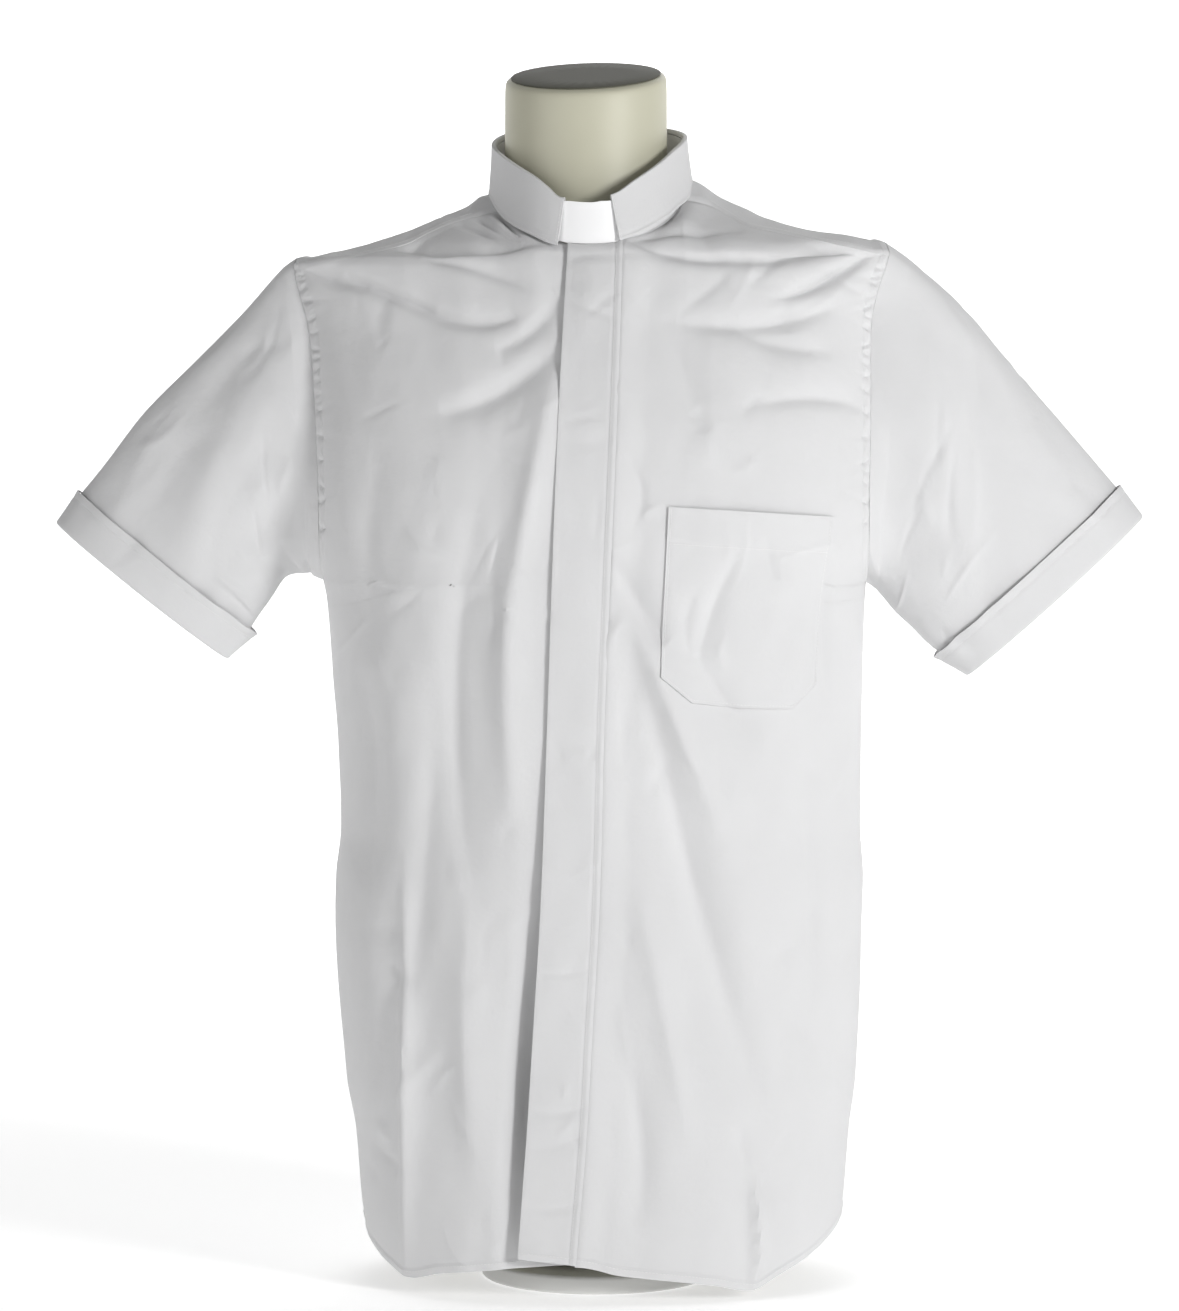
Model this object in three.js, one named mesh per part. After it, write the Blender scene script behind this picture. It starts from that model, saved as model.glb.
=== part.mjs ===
// Short-sleeved clergy shirt with a tab collar, worn by a limbless dress form.
// Millimetres. +Z is up, the shirt's front faces -Y, the wearer's left is +X.
// The origin is the middle of the underside of the form's round foot.
import * as THREE from 'three';

// ---------------------------------------------------------------- driving sizes
const CLOTH = 1.6;            // wall of a single layer of cloth
const PLY = 2.0;              // wall of a folded or interlined band
const SEAM_GAP = 0.35;        // clearance between two pieces sewn edge to edge
const LAP = 0.45;             // clearance under a piece that lies on another
const FOLD_FADE = 16;         // folds die out this near to the neckline and yoke seam
const BACK_FADE = 30;         // and this near to the back yoke's seam
const SIDE_FADE = 0.35;       // and within this angle of the side seams, in radians
const FOLD_STEPS = 10;        // places at which a fold's line is measured
const FOLD_END = 0.35;        // share of its height that a fold keeps at its ends
const PLACKET_BLEND = 22;     // width over which a front comes back from the fly's level
const UNDERARM = { left: 531, right: 529 };   // height of the underarm points
const BACK_SEAM = 746;        // height of the straight seam under the back yoke
const CUFF_WIDTH = 28;
const TAB_HEIGHT = 32;
const TAB_SAG = 2;            // the tab's edges dip this much in the middle
const STAND_REVEAL = 3.4;     // height of the tab's lower edge over the neckline
const FOLD_RADIUS = 1.9;      // turn of the collar's and the cuffs' folded edges
const SHOULDER_LEVELS = { low: 700, top: 836 };   // heights that the shoulders lie between
const FRONT_TOPS = { low: 690, top: 830 };        // and that the fronts' top edges lie between
const HEM_LEVEL = 30;         // height at which a column meets the hem's table
const RAD = Math.PI / 180;

// Half sizes of the garment at each height; left and right as seen from the front.
const TORSO = [
  { z: 0, left: 166, right: 174, front: 121, back: 112, square: 0.07 },
  { z: 56, left: 179, right: 188, front: 122, back: 112, square: 0.07 },
  { z: 114, left: 184, right: 192, front: 122, back: 112, square: 0.07 },
  { z: 153, left: 191, right: 196, front: 123, back: 111, square: 0.07 },
  { z: 268, left: 199, right: 201, front: 125, back: 108, square: 0.07 },
  { z: 306, left: 198, right: 202, front: 126, back: 107, square: 0.07 },
  { z: 344, left: 194, right: 200, front: 127, back: 106, square: 0.07 },
  { z: 401, left: 196, right: 200, front: 128, back: 107, square: 0.07 },
  { z: 455, left: 200, right: 201, front: 130, back: 111, square: 0.07 },
  { z: 516, left: 205, right: 203, front: 133, back: 117, square: 0.06 },
  { z: 531, left: 208, right: 204, front: 134, back: 119, square: 0.06 },
  { z: 556, left: 216, right: 212, front: 135, back: 121, square: 0.05 },
  { z: 586, left: 220, right: 216, front: 135, back: 124, square: 0.05 },
  { z: 636, left: 222, right: 218, front: 131, back: 127, square: 0.04 },
  { z: 686, left: 224, right: 219, front: 121, back: 126, square: 0.02 },
  { z: 726, left: 228, right: 222, front: 109, back: 121, square: 0 },
  { z: 751, left: 233, right: 229, front: 100, back: 116, square: 0 },
  { z: 766, left: 235, right: 234, front: 95, back: 112, square: 0 },
  { z: 773, left: 229, right: 235, front: 92, back: 109, square: 0 },
  { z: 776, left: 212, right: 234, front: 91, back: 108, square: 0 },
  { z: 784, left: 178, right: 222, front: 83, back: 103, square: 0 },
  { z: 792, left: 150, right: 184, front: 71, back: 97, square: 0 },
  { z: 802, left: 127, right: 134, front: 55, back: 88, square: 0 },
  { z: 813, left: 98, right: 110, front: 40, back: 80, square: 0 },
  { z: 819, left: 83, right: 97, front: 34, back: 76, square: 0 },
  { z: 830, left: 70, right: 76, front: 24, back: 72, square: 0 },
  { z: 836, left: 58, right: 64, front: 14, back: 64, square: 0 },
];

// Where the armhole seam runs: distance from the middle at each height.
const ARMHOLE = [
  { z: 526, left: 208, right: 203 },
  { z: 586, left: 208, right: 202 },
  { z: 652, left: 210, right: 203 },
  { z: 704, left: 213, right: 204 },
  { z: 727, left: 216, right: 205 },
  { z: 748, left: 222, right: 209 },
  { z: 764, left: 226, right: 214 },
  { z: 781, left: 228, right: 220 },
  { z: 790, left: 229, right: 223 },
];

// The yoke's front seam, a little in front of the shoulder ridge.
const YOKE_SEAM = [
  { x: -232, z: 764 }, { x: -200, z: 770 }, { x: -178, z: 775 }, { x: -142, z: 784 },
  { x: -125, z: 793 }, { x: -106, z: 801 }, { x: -82, z: 807 }, { x: -60, z: 812 },
  { x: 60, z: 818 }, { x: 83, z: 814 }, { x: 95, z: 808 }, { x: 112, z: 798 },
  { x: 134, z: 793 }, { x: 184, z: 782 }, { x: 232, z: 772 },
];

// Lower edge of the fronts, and of the back, by distance across.
const FRONT_HEM = [
  { x: -182, z: 58 }, { x: -173, z: 35 }, { x: -160, z: 20 }, { x: -142, z: 13 }, { x: -117, z: 19 },
  { x: -64, z: 25 }, { x: -15, z: 28 }, { x: 18, z: 21 }, { x: 61, z: 16 }, { x: 92, z: 12 },
  { x: 117, z: 7 }, { x: 147, z: 21 }, { x: 176, z: 43 }, { x: 189, z: 58 },
];
const BACK_HEM = [
  { x: -182, z: 58 }, { x: -168, z: 34 }, { x: -140, z: 15 }, { x: -80, z: 9 }, { x: 0, z: 8 },
  { x: 80, z: 9 }, { x: 146, z: 15 }, { x: 176, z: 34 }, { x: 189, z: 58 },
];

// The fly placket's free edge and its stitched inner edge lean to one side going down.
const PLACKET = [
  { z: 0, free: -60, ridge: -17 }, { z: 36, free: -58, ridge: -15 }, { z: 114, free: -52.5, ridge: -8.5 },
  { z: 210, free: -46.5, ridge: -3 }, { z: 304, free: -41, ridge: 2 }, { z: 431, free: -36.5, ridge: 5.3 },
  { z: 550, free: -32.5, ridge: 10 }, { z: 671, free: -27.5, ridge: 15 }, { z: 790, free: -21, ridge: 19 },
];
const PLACKET_RISE = PLY + LAP + CLOTH / 2;   // the fly lies on the other front
const UNDERLAP = 34;                          // how far that front runs in under the fly
const OPEN_FOLD = [                           // it sinks away from the fly's edge low down
  { z: 0, sink: 4 }, { z: 70, sink: 9 }, { z: 150, sink: 15 }, { z: 230, sink: 10 },
  { z: 340, sink: 3 }, { z: 440, sink: 0.5 }, { z: 800, sink: 0 },
];

// Patch pocket, corner places on the front; fractions run across it.
const POCKET = {
  topLeft: { x: 51.8, z: 589 }, topRight: { x: 173.5, z: 581 },
  lowLeft: 46, lowRight: 162,
  bottom: [
    { u: 0, z: 465 }, { u: 0.2, z: 445.5 }, { u: 0.5, z: 441 }, { u: 0.84, z: 439.5 }, { u: 1, z: 457 },
  ],
  columns: [0, 0.1, 0.2, 0.3, 0.4, 0.5, 0.62, 0.73, 0.84, 0.92, 1],
  rows: 10,
  proud: 1.8,                  // extra room over the folds beneath it
  mouth: 2.2,                  // how far the top edge stands off the shirt
};

// Largest folds: a curve through three places, its half width and its height (trough < 0).
const FOLDS = [
  { on: 'front', x0: -165, z0: 786, x1: -105, z1: 780, x2: -44, z2: 781, width: 9, height: -5 },
  { on: 'front', x0: -217, z0: 764, x1: -185, z1: 757, x2: -120, z2: 730, width: 11, height: -5 },
  { on: 'front', x0: -120, z0: 728, x1: -85, z1: 716, x2: -50, z2: 722, width: 15, height: -4 },
  { on: 'front', x0: -26, z0: 706, x1: -70, z1: 680, x2: -118, z2: 655, width: 16, height: -4.5 },
  { on: 'front', x0: -35, z0: 690, x1: -58, z1: 560, x2: -70, z2: 350, width: 15, height: 4.5 },
  { on: 'front', x0: -92, z0: 600, x1: -104, z1: 440, x2: -98, z2: 260, width: 20, height: -4 },
  { on: 'front', x0: -140, z0: 300, x1: -144, z1: 160, x2: -143, z2: 10, width: 10, height: 5 },
  { on: 'front', x0: 32, z0: 786, x1: 80, z1: 778, x2: 190, z2: 780, width: 9, height: -4.5 },
  { on: 'front', x0: 148, z0: 752, x1: 175, z1: 764, x2: 204, z2: 776, width: 9, height: -4.5 },
  { on: 'front', x0: 72, z0: 738, x1: 120, z1: 736, x2: 170, z2: 746, width: 12, height: -3.5 },
  { on: 'front', x0: 14, z0: 560, x1: 50, z1: 480, x2: 78, z2: 400, width: 21, height: -4 },
  { on: 'front', x0: 40, z0: 440, x1: 70, z1: 390, x2: 96, z2: 310, width: 20, height: 4 },
  { on: 'front', x0: 52, z0: 430, x1: 84, z1: 300, x2: 112, z2: 130, width: 18, height: -4.5 },
  { on: 'front', x0: 100, z0: 140, x1: 118, z1: 70, x2: 120, z2: 8, width: 10, height: 5 },
  { on: 'back', x0: -150, z0: 700, x1: -90, z1: 560, x2: -70, z2: 380, width: 20, height: -5 },
  { on: 'back', x0: 150, z0: 705, x1: 100, z1: 560, x2: 84, z2: 360, width: 20, height: -5 },
  { on: 'back', x0: -30, z0: 640, x1: -36, z1: 400, x2: -44, z2: 120, width: 22, height: 4 },
  { on: 'back', x0: 44, z0: 560, x1: 50, z1: 360, x2: 66, z2: 90, width: 22, height: -4.5 },
  { on: 'back', x0: -128, z0: 400, x1: -134, z1: 240, x2: -140, z2: 20, width: 18, height: -5 },
];

// Sleeves: upper and lower outline points from armhole to cuff edge, and half depth.
const SLEEVES = {
  left: [
    { t: 0.1, topX: -240, topZ: 764, lowX: -221, lowZ: 541, depth: 50 },
    { t: 0.28, topX: -270, topZ: 731, lowX: -236, lowZ: 533, depth: 49 },
    { t: 0.46, topX: -304, topZ: 697, lowX: -246, lowZ: 519, depth: 46 },
    { t: 0.64, topX: -341, topZ: 659, lowX: -256, lowZ: 505, depth: 42 },
    { t: 0.82, topX: -376, topZ: 614, lowX: -267, lowZ: 489, depth: 38 },
    { t: 1, topX: -406, topZ: 576, lowX: -280, lowZ: 475.5, depth: 35 },
  ],
  right: [
    { t: 0.1, topX: 243, topZ: 768, lowX: 214, lowZ: 521, depth: 50 },
    { t: 0.28, topX: 276, topZ: 739, lowX: 226, lowZ: 507, depth: 49 },
    { t: 0.46, topX: 309, topZ: 700, lowX: 240, lowZ: 494, depth: 46 },
    { t: 0.64, topX: 343, topZ: 660, lowX: 252, lowZ: 482, depth: 42 },
    { t: 0.82, topX: 378, topZ: 619, lowX: 266, lowZ: 472, depth: 38 },
    { t: 1, topX: 410, topZ: 580.5, lowX: 280, lowZ: 462.5, depth: 35 },
  ],
};
const SLEEVE_ROWS = [0.05, 0.12, 0.2, 0.3, 0.42, 0.54, 0.66, 0.78, 0.89, 1];
// Near the armhole the sleeve keeps the armhole's own shape, moved out and down.
const SLEEVE_HEAD = { length: 0.3, out: 60, down: 22 };
const SLEEVE_FOLD = { end: 0.12, fade: 0.2 };    // how its folds taper at their ends and the cuff
const CURVE_GAP = SEAM_GAP + 0.1;                // a seam's clearance round a curve
const CUFF_EASE = 2;                             // the cuff turns this far past the sleeve's end
const CUFF_TURN = [30, 90, 150];                 // angles of its folded edge
const CUFF_BACK = [-4, -12, -20, CUFF_EASE - CUFF_WIDTH];
// Sleeve folds: places by girth (0 underarm, 0.25 front, 0.5 top) and by length.
const SLEEVE_FOLDS = {
  left: [
    { g0: 0.4, t0: 0.15, g1: 0.33, t1: 0.85, width: 0.05, height: -4 },
    { g0: 0.13, t0: 0.02, g1: 0.17, t1: 0.5, width: 0.035, height: -5 },
    { g0: 0.72, t0: 0.1, g1: 0.66, t1: 0.8, width: 0.05, height: -4.5 },
  ],
  right: [
    { g0: 0.36, t0: 0.2, g1: 0.2, t1: 0.8, width: 0.05, height: -4.5 },
    { g0: 0.12, t0: 0.02, g1: 0.18, t1: 0.45, width: 0.035, height: -5 },
    { g0: 0.7, t0: 0.1, g1: 0.62, t1: 0.8, width: 0.05, height: -4.5 },
  ],
};

// The neckline is an oval in plan; the collar stands on it. Angles run from the front to +X.
const NECK = { x: -3.9, side: 71.5, front: 89, back: 74 };
const COLLAR = [
  { a: -180, top: 882, low: 829 }, { a: -135, top: 876, low: 825 }, { a: -90, top: 862, low: 817 },
  { a: -64, top: 851, low: 802 }, { a: -48, top: 842, low: 792 }, { a: -34, top: 833, low: 785 },
  { a: -26, top: 825.5, low: 783 }, { a: -18, top: 817.5, low: 781 }, { a: 0, top: 815.5, low: 781 }, { a: 14, top: 820.3, low: 784 },
  { a: 26, top: 830, low: 789 }, { a: 45, top: 844, low: 801 }, { a: 62, top: 856, low: 813 },
  { a: 90, top: 868, low: 826 }, { a: 135, top: 878, low: 828 }, { a: 180, top: 882, low: 829 },
];
const COLLAR_FLARE = 3;       // the fall stands this much further out at its lower edge
const FALL_ENDS = { topLeft: -15.5, lowLeft: -19.5, topRight: 11.5, lowRight: 15.5 };
const STAND_SPLIT = -13.5;    // where the stand's two ends meet under the tab
const TAB_ENDS = { left: -23, right: 18 };

// Dress form: half sizes at each height; it keeps clear of the cloth below the shoulders.
const FORM = [
  { z: 14.3, side: 84, front: 66, back: 62 }, { z: 30, side: 98, front: 76, back: 72 },
  { z: 60, side: 116, front: 84, back: 80 }, { z: 110, side: 138, front: 92, back: 88 },
  { z: 170, side: 150, front: 97, back: 90 }, { z: 240, side: 152, front: 98, back: 88 },
  { z: 320, side: 145, front: 97, back: 84 }, { z: 400, side: 140, front: 98, back: 82 },
  { z: 470, side: 147, front: 103, back: 86 }, { z: 540, side: 160, front: 110, back: 95 },
  { z: 600, side: 172, front: 115, back: 103 }, { z: 650, side: 181, front: 110, back: 107 },
  { z: 690, side: 187, front: 99, back: 105 }, { z: 720, side: 190, front: 88, back: 100 },
  { z: 745, side: 188, front: 80, back: 95 }, { z: 762, side: 182, front: 77, back: 92 },
  { z: 774, side: 172, front: 75, back: 90 },
];
const SHOULDER_ROWS = [784, 789, 794, 800, 806, 813, 820, 828];   // shirt heights it carries
// The form's shoulders lie this far under and inside the yoke's outer surface.
const SEAT = { drop: CLOTH - 0.2, left: 1.6, right: 1.6, front: 9, back: 5 };
const NECK_SLACK = { from: 799, to: 811, most: 17 };    // and fall away towards the neck
const SHOULDER_LIMIT = { wide: 172, narrow: 150, from: 784, over: 30 };   // clear of the sleeves
const FORM_NECK = { x: -8.5, y: -3, side: 61.5, front: 60, back: 57 };
const NECK_FLARE = { wide: 1.5, front: 4.5, from: 782, over: 60 };        // the neck widens going down
const NECK_ROWS = [830, 865, 893];
const NECK_RIM = 893;
const NECK_TILT = { from: 828, over: 70 };     // above this the rows tilt with the neck's top
const NECK_TOP = { z: 912, backRise: 0.25, rightRise: 0.035, round: 4.5 };
const CAP_PLATE = [{ inset: 0.3, rise: 0.3 }, { inset: 0.3, rise: 0.9 }, { inset: 1, rise: 1.3 }];
const FOOT = { radius: 88, thickness: 14, bevel: 3, sides: 48 };

// ---------------------------------------------------------------- numbers by table
// Reads one column of a table at a key, with a smooth curve that never overshoots.
function read(table, key, column, at) {
  const last = table.length - 1;
  if (at <= table[0][key]) return table[0][column];
  if (at >= table[last][key]) return table[last][column];
  let i = 0;
  while (table[i + 1][key] < at) i += 1;
  const step = (k) => (table[k + 1][column] - table[k][column]) / (table[k + 1][key] - table[k][key]);
  const slope = (k) => {
    if (k === 0) return step(0);
    if (k === last) return step(last - 1);
    const before = step(k - 1);
    const after = step(k);
    return before * after <= 0 ? 0 : (2 * before * after) / (before + after);
  };
  const span = table[i + 1][key] - table[i][key];
  const t = (at - table[i][key]) / span;
  const rise = table[i + 1][column] - table[i][column];
  const m0 = slope(i) * span;
  const m1 = slope(i + 1) * span;
  return table[i][column] + t * (m0 + t * (3 * rise - 2 * m0 - m1 + t * (m0 + m1 - 2 * rise)));
}
const mix = (a, b, t) => a + (b - a) * t;
const clamp = (v, low, high) => Math.min(high, Math.max(low, v));
const ease = (v) => clamp(v, 0, 1) ** 2 * (3 - 2 * clamp(v, 0, 1));
const range = (count) => Array.from({ length: count }, (_, i) => i);
const steps = (count) => range(count + 1).map((i) => i / count);

// Finds where a rising function crosses zero.
function solve(low, high, f) {
  let a = low;
  let b = high;
  for (let i = 0; i < 44; i += 1) {
    const m = (a + b) / 2;
    if (f(m) > 0) b = m;
    else a = m;
  }
  return (a + b) / 2;
}

// ---------------------------------------------------------------- the body of the garment
// A point of the smooth torso; angle 0 is the middle of the front, 90 degrees the +X side.
function torso(angle, z) {
  const s = Math.sin(angle);
  const c = Math.cos(angle);
  const bulge = 1 + read(TORSO, 'z', 'square', z) * Math.sin(2 * angle) ** 2;
  const half = read(TORSO, 'z', s < 0 ? 'left' : 'right', z);
  const deep = read(TORSO, 'z', c > 0 ? 'front' : 'back', z);
  return new THREE.Vector3(half * s * bulge, -deep * c * bulge, z);
}
const frontAngle = (x, z) => solve(-Math.PI / 2, Math.PI / 2, (angle) => torso(angle, z).x - x);

function foldHeight(face, x, z) {
  let total = 0;
  for (const f of FOLDS) {
    if (f.on !== face) continue;
    let near = Infinity;
    let along = 0;
    for (const t of steps(FOLD_STEPS)) {
      const u = 1 - t;
      const fx = u * u * f.x0 + 2 * u * t * (2 * f.x1 - (f.x0 + f.x2) / 2) + t * t * f.x2;
      const fz = u * u * f.z0 + 2 * u * t * (2 * f.z1 - (f.z0 + f.z2) / 2) + t * t * f.z2;
      const d = Math.hypot(x - fx, z - fz);
      if (d < near) {
        near = d;
        along = t;
      }
    }
    const taper = mix(FOLD_END, 1, Math.sin(Math.PI * along) ** 0.7);
    total += f.height * taper * Math.exp(-((near / f.width) ** 2));
  }
  return total;
}

// How far a place on a front lies off the smooth torso, for each of its layers.
function layerRise(layer, x, z) {
  const free = read(PLACKET, 'z', 'free', z);
  const ridge = read(PLACKET, 'z', 'ridge', z);
  if (layer === 'under') return -read(OPEN_FOLD, 'z', 'sink', z) * ease((x - free) / PLACKET_BLEND + 1);
  if (layer === 'fly') return PLACKET_RISE;
  if (layer === 'over') return PLACKET_RISE * (1 - ease((x - ridge) / PLACKET_BLEND));
  return 0;
}

// Outside of the cloth: torso, folds and layer, moved out by any extra lift.
function cloth(layer, angle, z, lift = 0) {
  const p = torso(angle, z);
  const face = layer === 'back' ? 'back' : 'front';
  const e = 0.01;
  const across = torso(angle + e, z).sub(torso(angle - e, z));
  const up = torso(angle, z + 2).sub(torso(angle, z - 2));
  const out = across.cross(up).normalize();
  const turned = layer === 'back' ? Math.PI - angle : angle;
  const side = ease((Math.PI / 2 - Math.abs(turned)) / SIDE_FADE);
  const fade = layer === 'back' ? ease((BACK_SEAM - z) / BACK_FADE) : ease((frontTop(p.x) - z) / FOLD_FADE);
  const rise = foldHeight(face, p.x, z) * side * fade + layerRise(layer, p.x, z);
  return p.addScaledVector(out, rise + lift);
}

// Outer and inner point of a wall on the body, square to the finished surface.
function clothPair(layer, angle, z, thickness, lift = 0) {
  const outer = cloth(layer, angle, z, lift);
  const e = 0.02;
  const across = cloth(layer, angle + e, z, lift).sub(cloth(layer, angle - e, z, lift));
  const up = cloth(layer, angle, z + 3, lift).sub(cloth(layer, angle, z - 3, lift));
  const inner = outer.clone().addScaledVector(across.cross(up).normalize(), -thickness);
  return { outer, inner };
}

// ---------------------------------------------------------------- solids from grids
// Closes two matching grids of points into one wall; ring walls join their last column to the first.
function wall(pairs, ring = false) {
  const rows = pairs.length;
  const cols = pairs[0].length;
  const at = (layer, i, j) => (layer * rows + i) * cols + (j % cols);
  const position = [];
  for (const layer of ['outer', 'inner']) {
    for (const pair of pairs.flat()) position.push(...pair[layer].toArray());
  }
  const index = [];
  const quad = (a, b, c, d) => index.push(a, b, c, a, c, d);
  const spans = ring ? cols : cols - 1;
  for (let i = 0; i < rows - 1; i += 1) {
    for (let j = 0; j < spans; j += 1) {
      quad(at(0, i, j), at(0, i, j + 1), at(0, i + 1, j + 1), at(0, i + 1, j));
      quad(at(1, i, j), at(1, i + 1, j), at(1, i + 1, j + 1), at(1, i, j + 1));
    }
  }
  for (let j = 0; j < spans; j += 1) {
    quad(at(1, 0, j), at(1, 0, j + 1), at(0, 0, j + 1), at(0, 0, j));
    quad(at(0, rows - 1, j), at(0, rows - 1, j + 1), at(1, rows - 1, j + 1), at(1, rows - 1, j));
  }
  if (!ring) {
    for (let i = 0; i < rows - 1; i += 1) {
      quad(at(0, i, 0), at(0, i + 1, 0), at(1, i + 1, 0), at(1, i, 0));
      quad(at(1, i, cols - 1), at(1, i + 1, cols - 1), at(0, i + 1, cols - 1), at(0, i, cols - 1));
    }
  }
  return solid(position, index);
}

// An indexed solid, with its faces turned outwards.
function solid(position, index) {
  let volume = 0;
  const p = (k) => new THREE.Vector3().fromArray(position, 3 * k);
  for (let k = 0; k < index.length; k += 3) {
    volume += p(index[k]).dot(p(index[k + 1]).cross(p(index[k + 2])));
  }
  const geometry = new THREE.BufferGeometry();
  geometry.setAttribute('position', new THREE.Float32BufferAttribute(position, 3));
  geometry.setIndex(volume > 0 ? index : index.slice().reverse());
  geometry.computeVertexNormals();
  return geometry;
}

// Gives a grid of middle points its thickness, square to the surface; rings wrap round.
function thicken(grid, thickness, ring = false, inward = 0.5) {
  const rows = grid.length;
  const cols = grid[0].length;
  const col = (j) => (ring ? (j + cols) % cols : clamp(j, 0, cols - 1));
  const row = (i) => clamp(i, 0, rows - 1);
  return range(rows).map((i) => range(cols).map((j) => {
    const across = grid[i][col(j + 1)].clone().sub(grid[i][col(j - 1)]);
    const up = grid[row(i + 1)][j].clone().sub(grid[row(i - 1)][j]);
    const out = across.cross(up).normalize();
    return {
      outer: grid[i][j].clone().addScaledVector(out, thickness * (1 - inward)),
      inner: grid[i][j].clone().addScaledVector(out, -thickness * inward),
    };
  }));
}

const WHITE_COTTON = { color: 0xe3e3e3, roughness: 0.85, metalness: 0 };
const TAB_WHITE = { color: 0xfbfbfb, roughness: 0.35, metalness: 0 };
const FORM_CREAM = { color: 0xcdccb4, roughness: 0.6, metalness: 0 };
const FORM_DARK = { color: 0x5a5b50, roughness: 0.7, metalness: 0 };
const part = new THREE.Group();
function add(name, geometry, finish) {
  const mesh = new THREE.Mesh(geometry, new THREE.MeshStandardMaterial(finish));
  mesh.name = name;
  part.add(mesh);
}

// ---------------------------------------------------------------- neckline and seams
// The neck oval in plan, moved out by a margin.
function neckPlan(degrees, margin = 0) {
  const a = degrees * RAD;
  const deep = (Math.cos(a) > 0 ? NECK.front : NECK.back) + margin;
  return { x: NECK.x + (NECK.side + margin) * Math.sin(a), y: -deep * Math.cos(a) };
}
// Height of the torso above a place in plan, near the shoulders.
function shoulderHeight(x, y) {
  return solve(SHOULDER_LEVELS.low, SHOULDER_LEVELS.top, (z) => {
    const half = read(TORSO, 'z', x < 0 ? 'left' : 'right', z);
    const deep = read(TORSO, 'z', y < 0 ? 'front' : 'back', z);
    return (x / half) ** 2 + (y / deep) ** 2 - 1;
  });
}
const neckHeight = (degrees) => {
  const p = neckPlan(degrees);
  return shoulderHeight(p.x, p.y);
};
const yokeSeam = (x) => read(YOKE_SEAM, 'x', 'z', x);
// Angles where the neckline meets the yoke's front seam, on each side.
const corner = {
  right: solve(20, 89, (a) => neckHeight(a) - yokeSeam(neckPlan(a).x)),
  left: -solve(20, 89, (a) => neckHeight(-a) - yokeSeam(neckPlan(-a).x)),
};

// Top edge of a front at a distance across: neckline near the middle, then the yoke seam.
function frontTop(x) {
  const side = x < NECK.x ? 'left' : 'right';
  const edge = neckPlan(corner[side]).x;
  if (Math.abs(x - NECK.x) >= Math.abs(edge - NECK.x)) return yokeSeam(x);
  const degrees = Math.asin(clamp((x - NECK.x) / NECK.side, -1, 1)) / RAD;
  return neckHeight(degrees);
}

function armholeAngle(side, z) {
  if (z <= UNDERARM[side]) return Math.PI / 2 - SEAM_GAP / 400;
  const edge = read(ARMHOLE, 'z', side, z);
  const sign = side === 'left' ? -1 : 1;
  const found = solve(0.5, Math.PI / 2, (angle) => Math.abs(torso(sign * angle, z).x) - edge);
  return Math.min(found, Math.PI / 2 - SEAM_GAP / 400);
}

// ---------------------------------------------------------------- fronts, placket, pocket
const FRONT_COLUMNS = 12;
const FRONT_CORNER = 5;       // the column that ends at the yoke's corner
const SIDE_ROWS = 15;         // rows from the hem to the underarm
const ARM_ROWS = 12;          // rows from the underarm to the yoke
const ROW_CROWDING = 1.15;    // the rows above the underarm lie closer near it
const TOP_GAP = SEAM_GAP * 1.6;   // the yoke's seam slants, so its clearance is wider along Z
const BACK_COLUMNS = 20;
const FLY = { columns: 4, rows: 27, hemFree: 34, hemRidge: 29 };

// Rows that meet the underarm: fractions of the height below it, then above it.
function rowHeights(low, middle, high) {
  const below = steps(SIDE_ROWS).map((t) => mix(low, middle, t));
  const above = steps(ARM_ROWS).slice(1).map((t) => mix(middle, high, t ** ROW_CROWDING));
  return below.concat(above);
}

// The height at which a column of the front, given by its angle, reaches the top edge.
const topOf = (angleAt) => solve(
  FRONT_TOPS.low, FRONT_TOPS.top, (z) => z - frontTop(torso(angleAt(z), z).x));

function frontPanel(side) {
  const sign = side === 'left' ? -1 : 1;
  const layer = side === 'left' ? 'under' : 'over';
  const start = (z) => (side === 'left'
    ? read(PLACKET, 'z', 'free', z) + UNDERLAP
    : read(PLACKET, 'z', 'ridge', z) + SEAM_GAP);
  const angleAt = (a, z) => mix(frontAngle(start(z), z), sign * armholeAngle(side, z), a);
  const cornerX = neckPlan(corner[side]).x;
  const cornerZ = yokeSeam(cornerX);
  const cornerShare = solve(0.05, 0.9, (a) => sign * (torso(angleAt(a, cornerZ), cornerZ).x - cornerX));
  const shares = range(FRONT_COLUMNS + 1).map((j) => (j <= FRONT_CORNER
    ? (cornerShare * j) / FRONT_CORNER
    : mix(cornerShare, 1, (j - FRONT_CORNER) / (FRONT_COLUMNS - FRONT_CORNER))));
  const columns = shares.map((a) => {
    const low = read(FRONT_HEM, 'x', 'z', torso(angleAt(a, HEM_LEVEL), HEM_LEVEL).x);
    const high = topOf((z) => angleAt(a, z)) - TOP_GAP;
    const heights = rowHeights(low, UNDERARM[side], high);
    return heights.map((z) => clothPair(layer, angleAt(a, z), z, CLOTH));
  });
  return range(columns[0].length).map((i) => columns.map((column) => column[i]));
}

function backPanel() {
  const columns = steps(BACK_COLUMNS).map((a) => {
    const angleAt = (z) => mix(Math.PI - armholeAngle('right', z), Math.PI + armholeAngle('left', z), a);
    const low = read(BACK_HEM, 'x', 'z', torso(angleAt(HEM_LEVEL), HEM_LEVEL).x);
    const middle = mix(UNDERARM.right, UNDERARM.left, a);
    const heights = rowHeights(low, middle, BACK_SEAM - SEAM_GAP);
    return heights.map((z) => clothPair('back', angleAt(z), z, CLOTH));
  });
  return range(columns[0].length).map((i) => columns.map((column) => column[i]));
}

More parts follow.
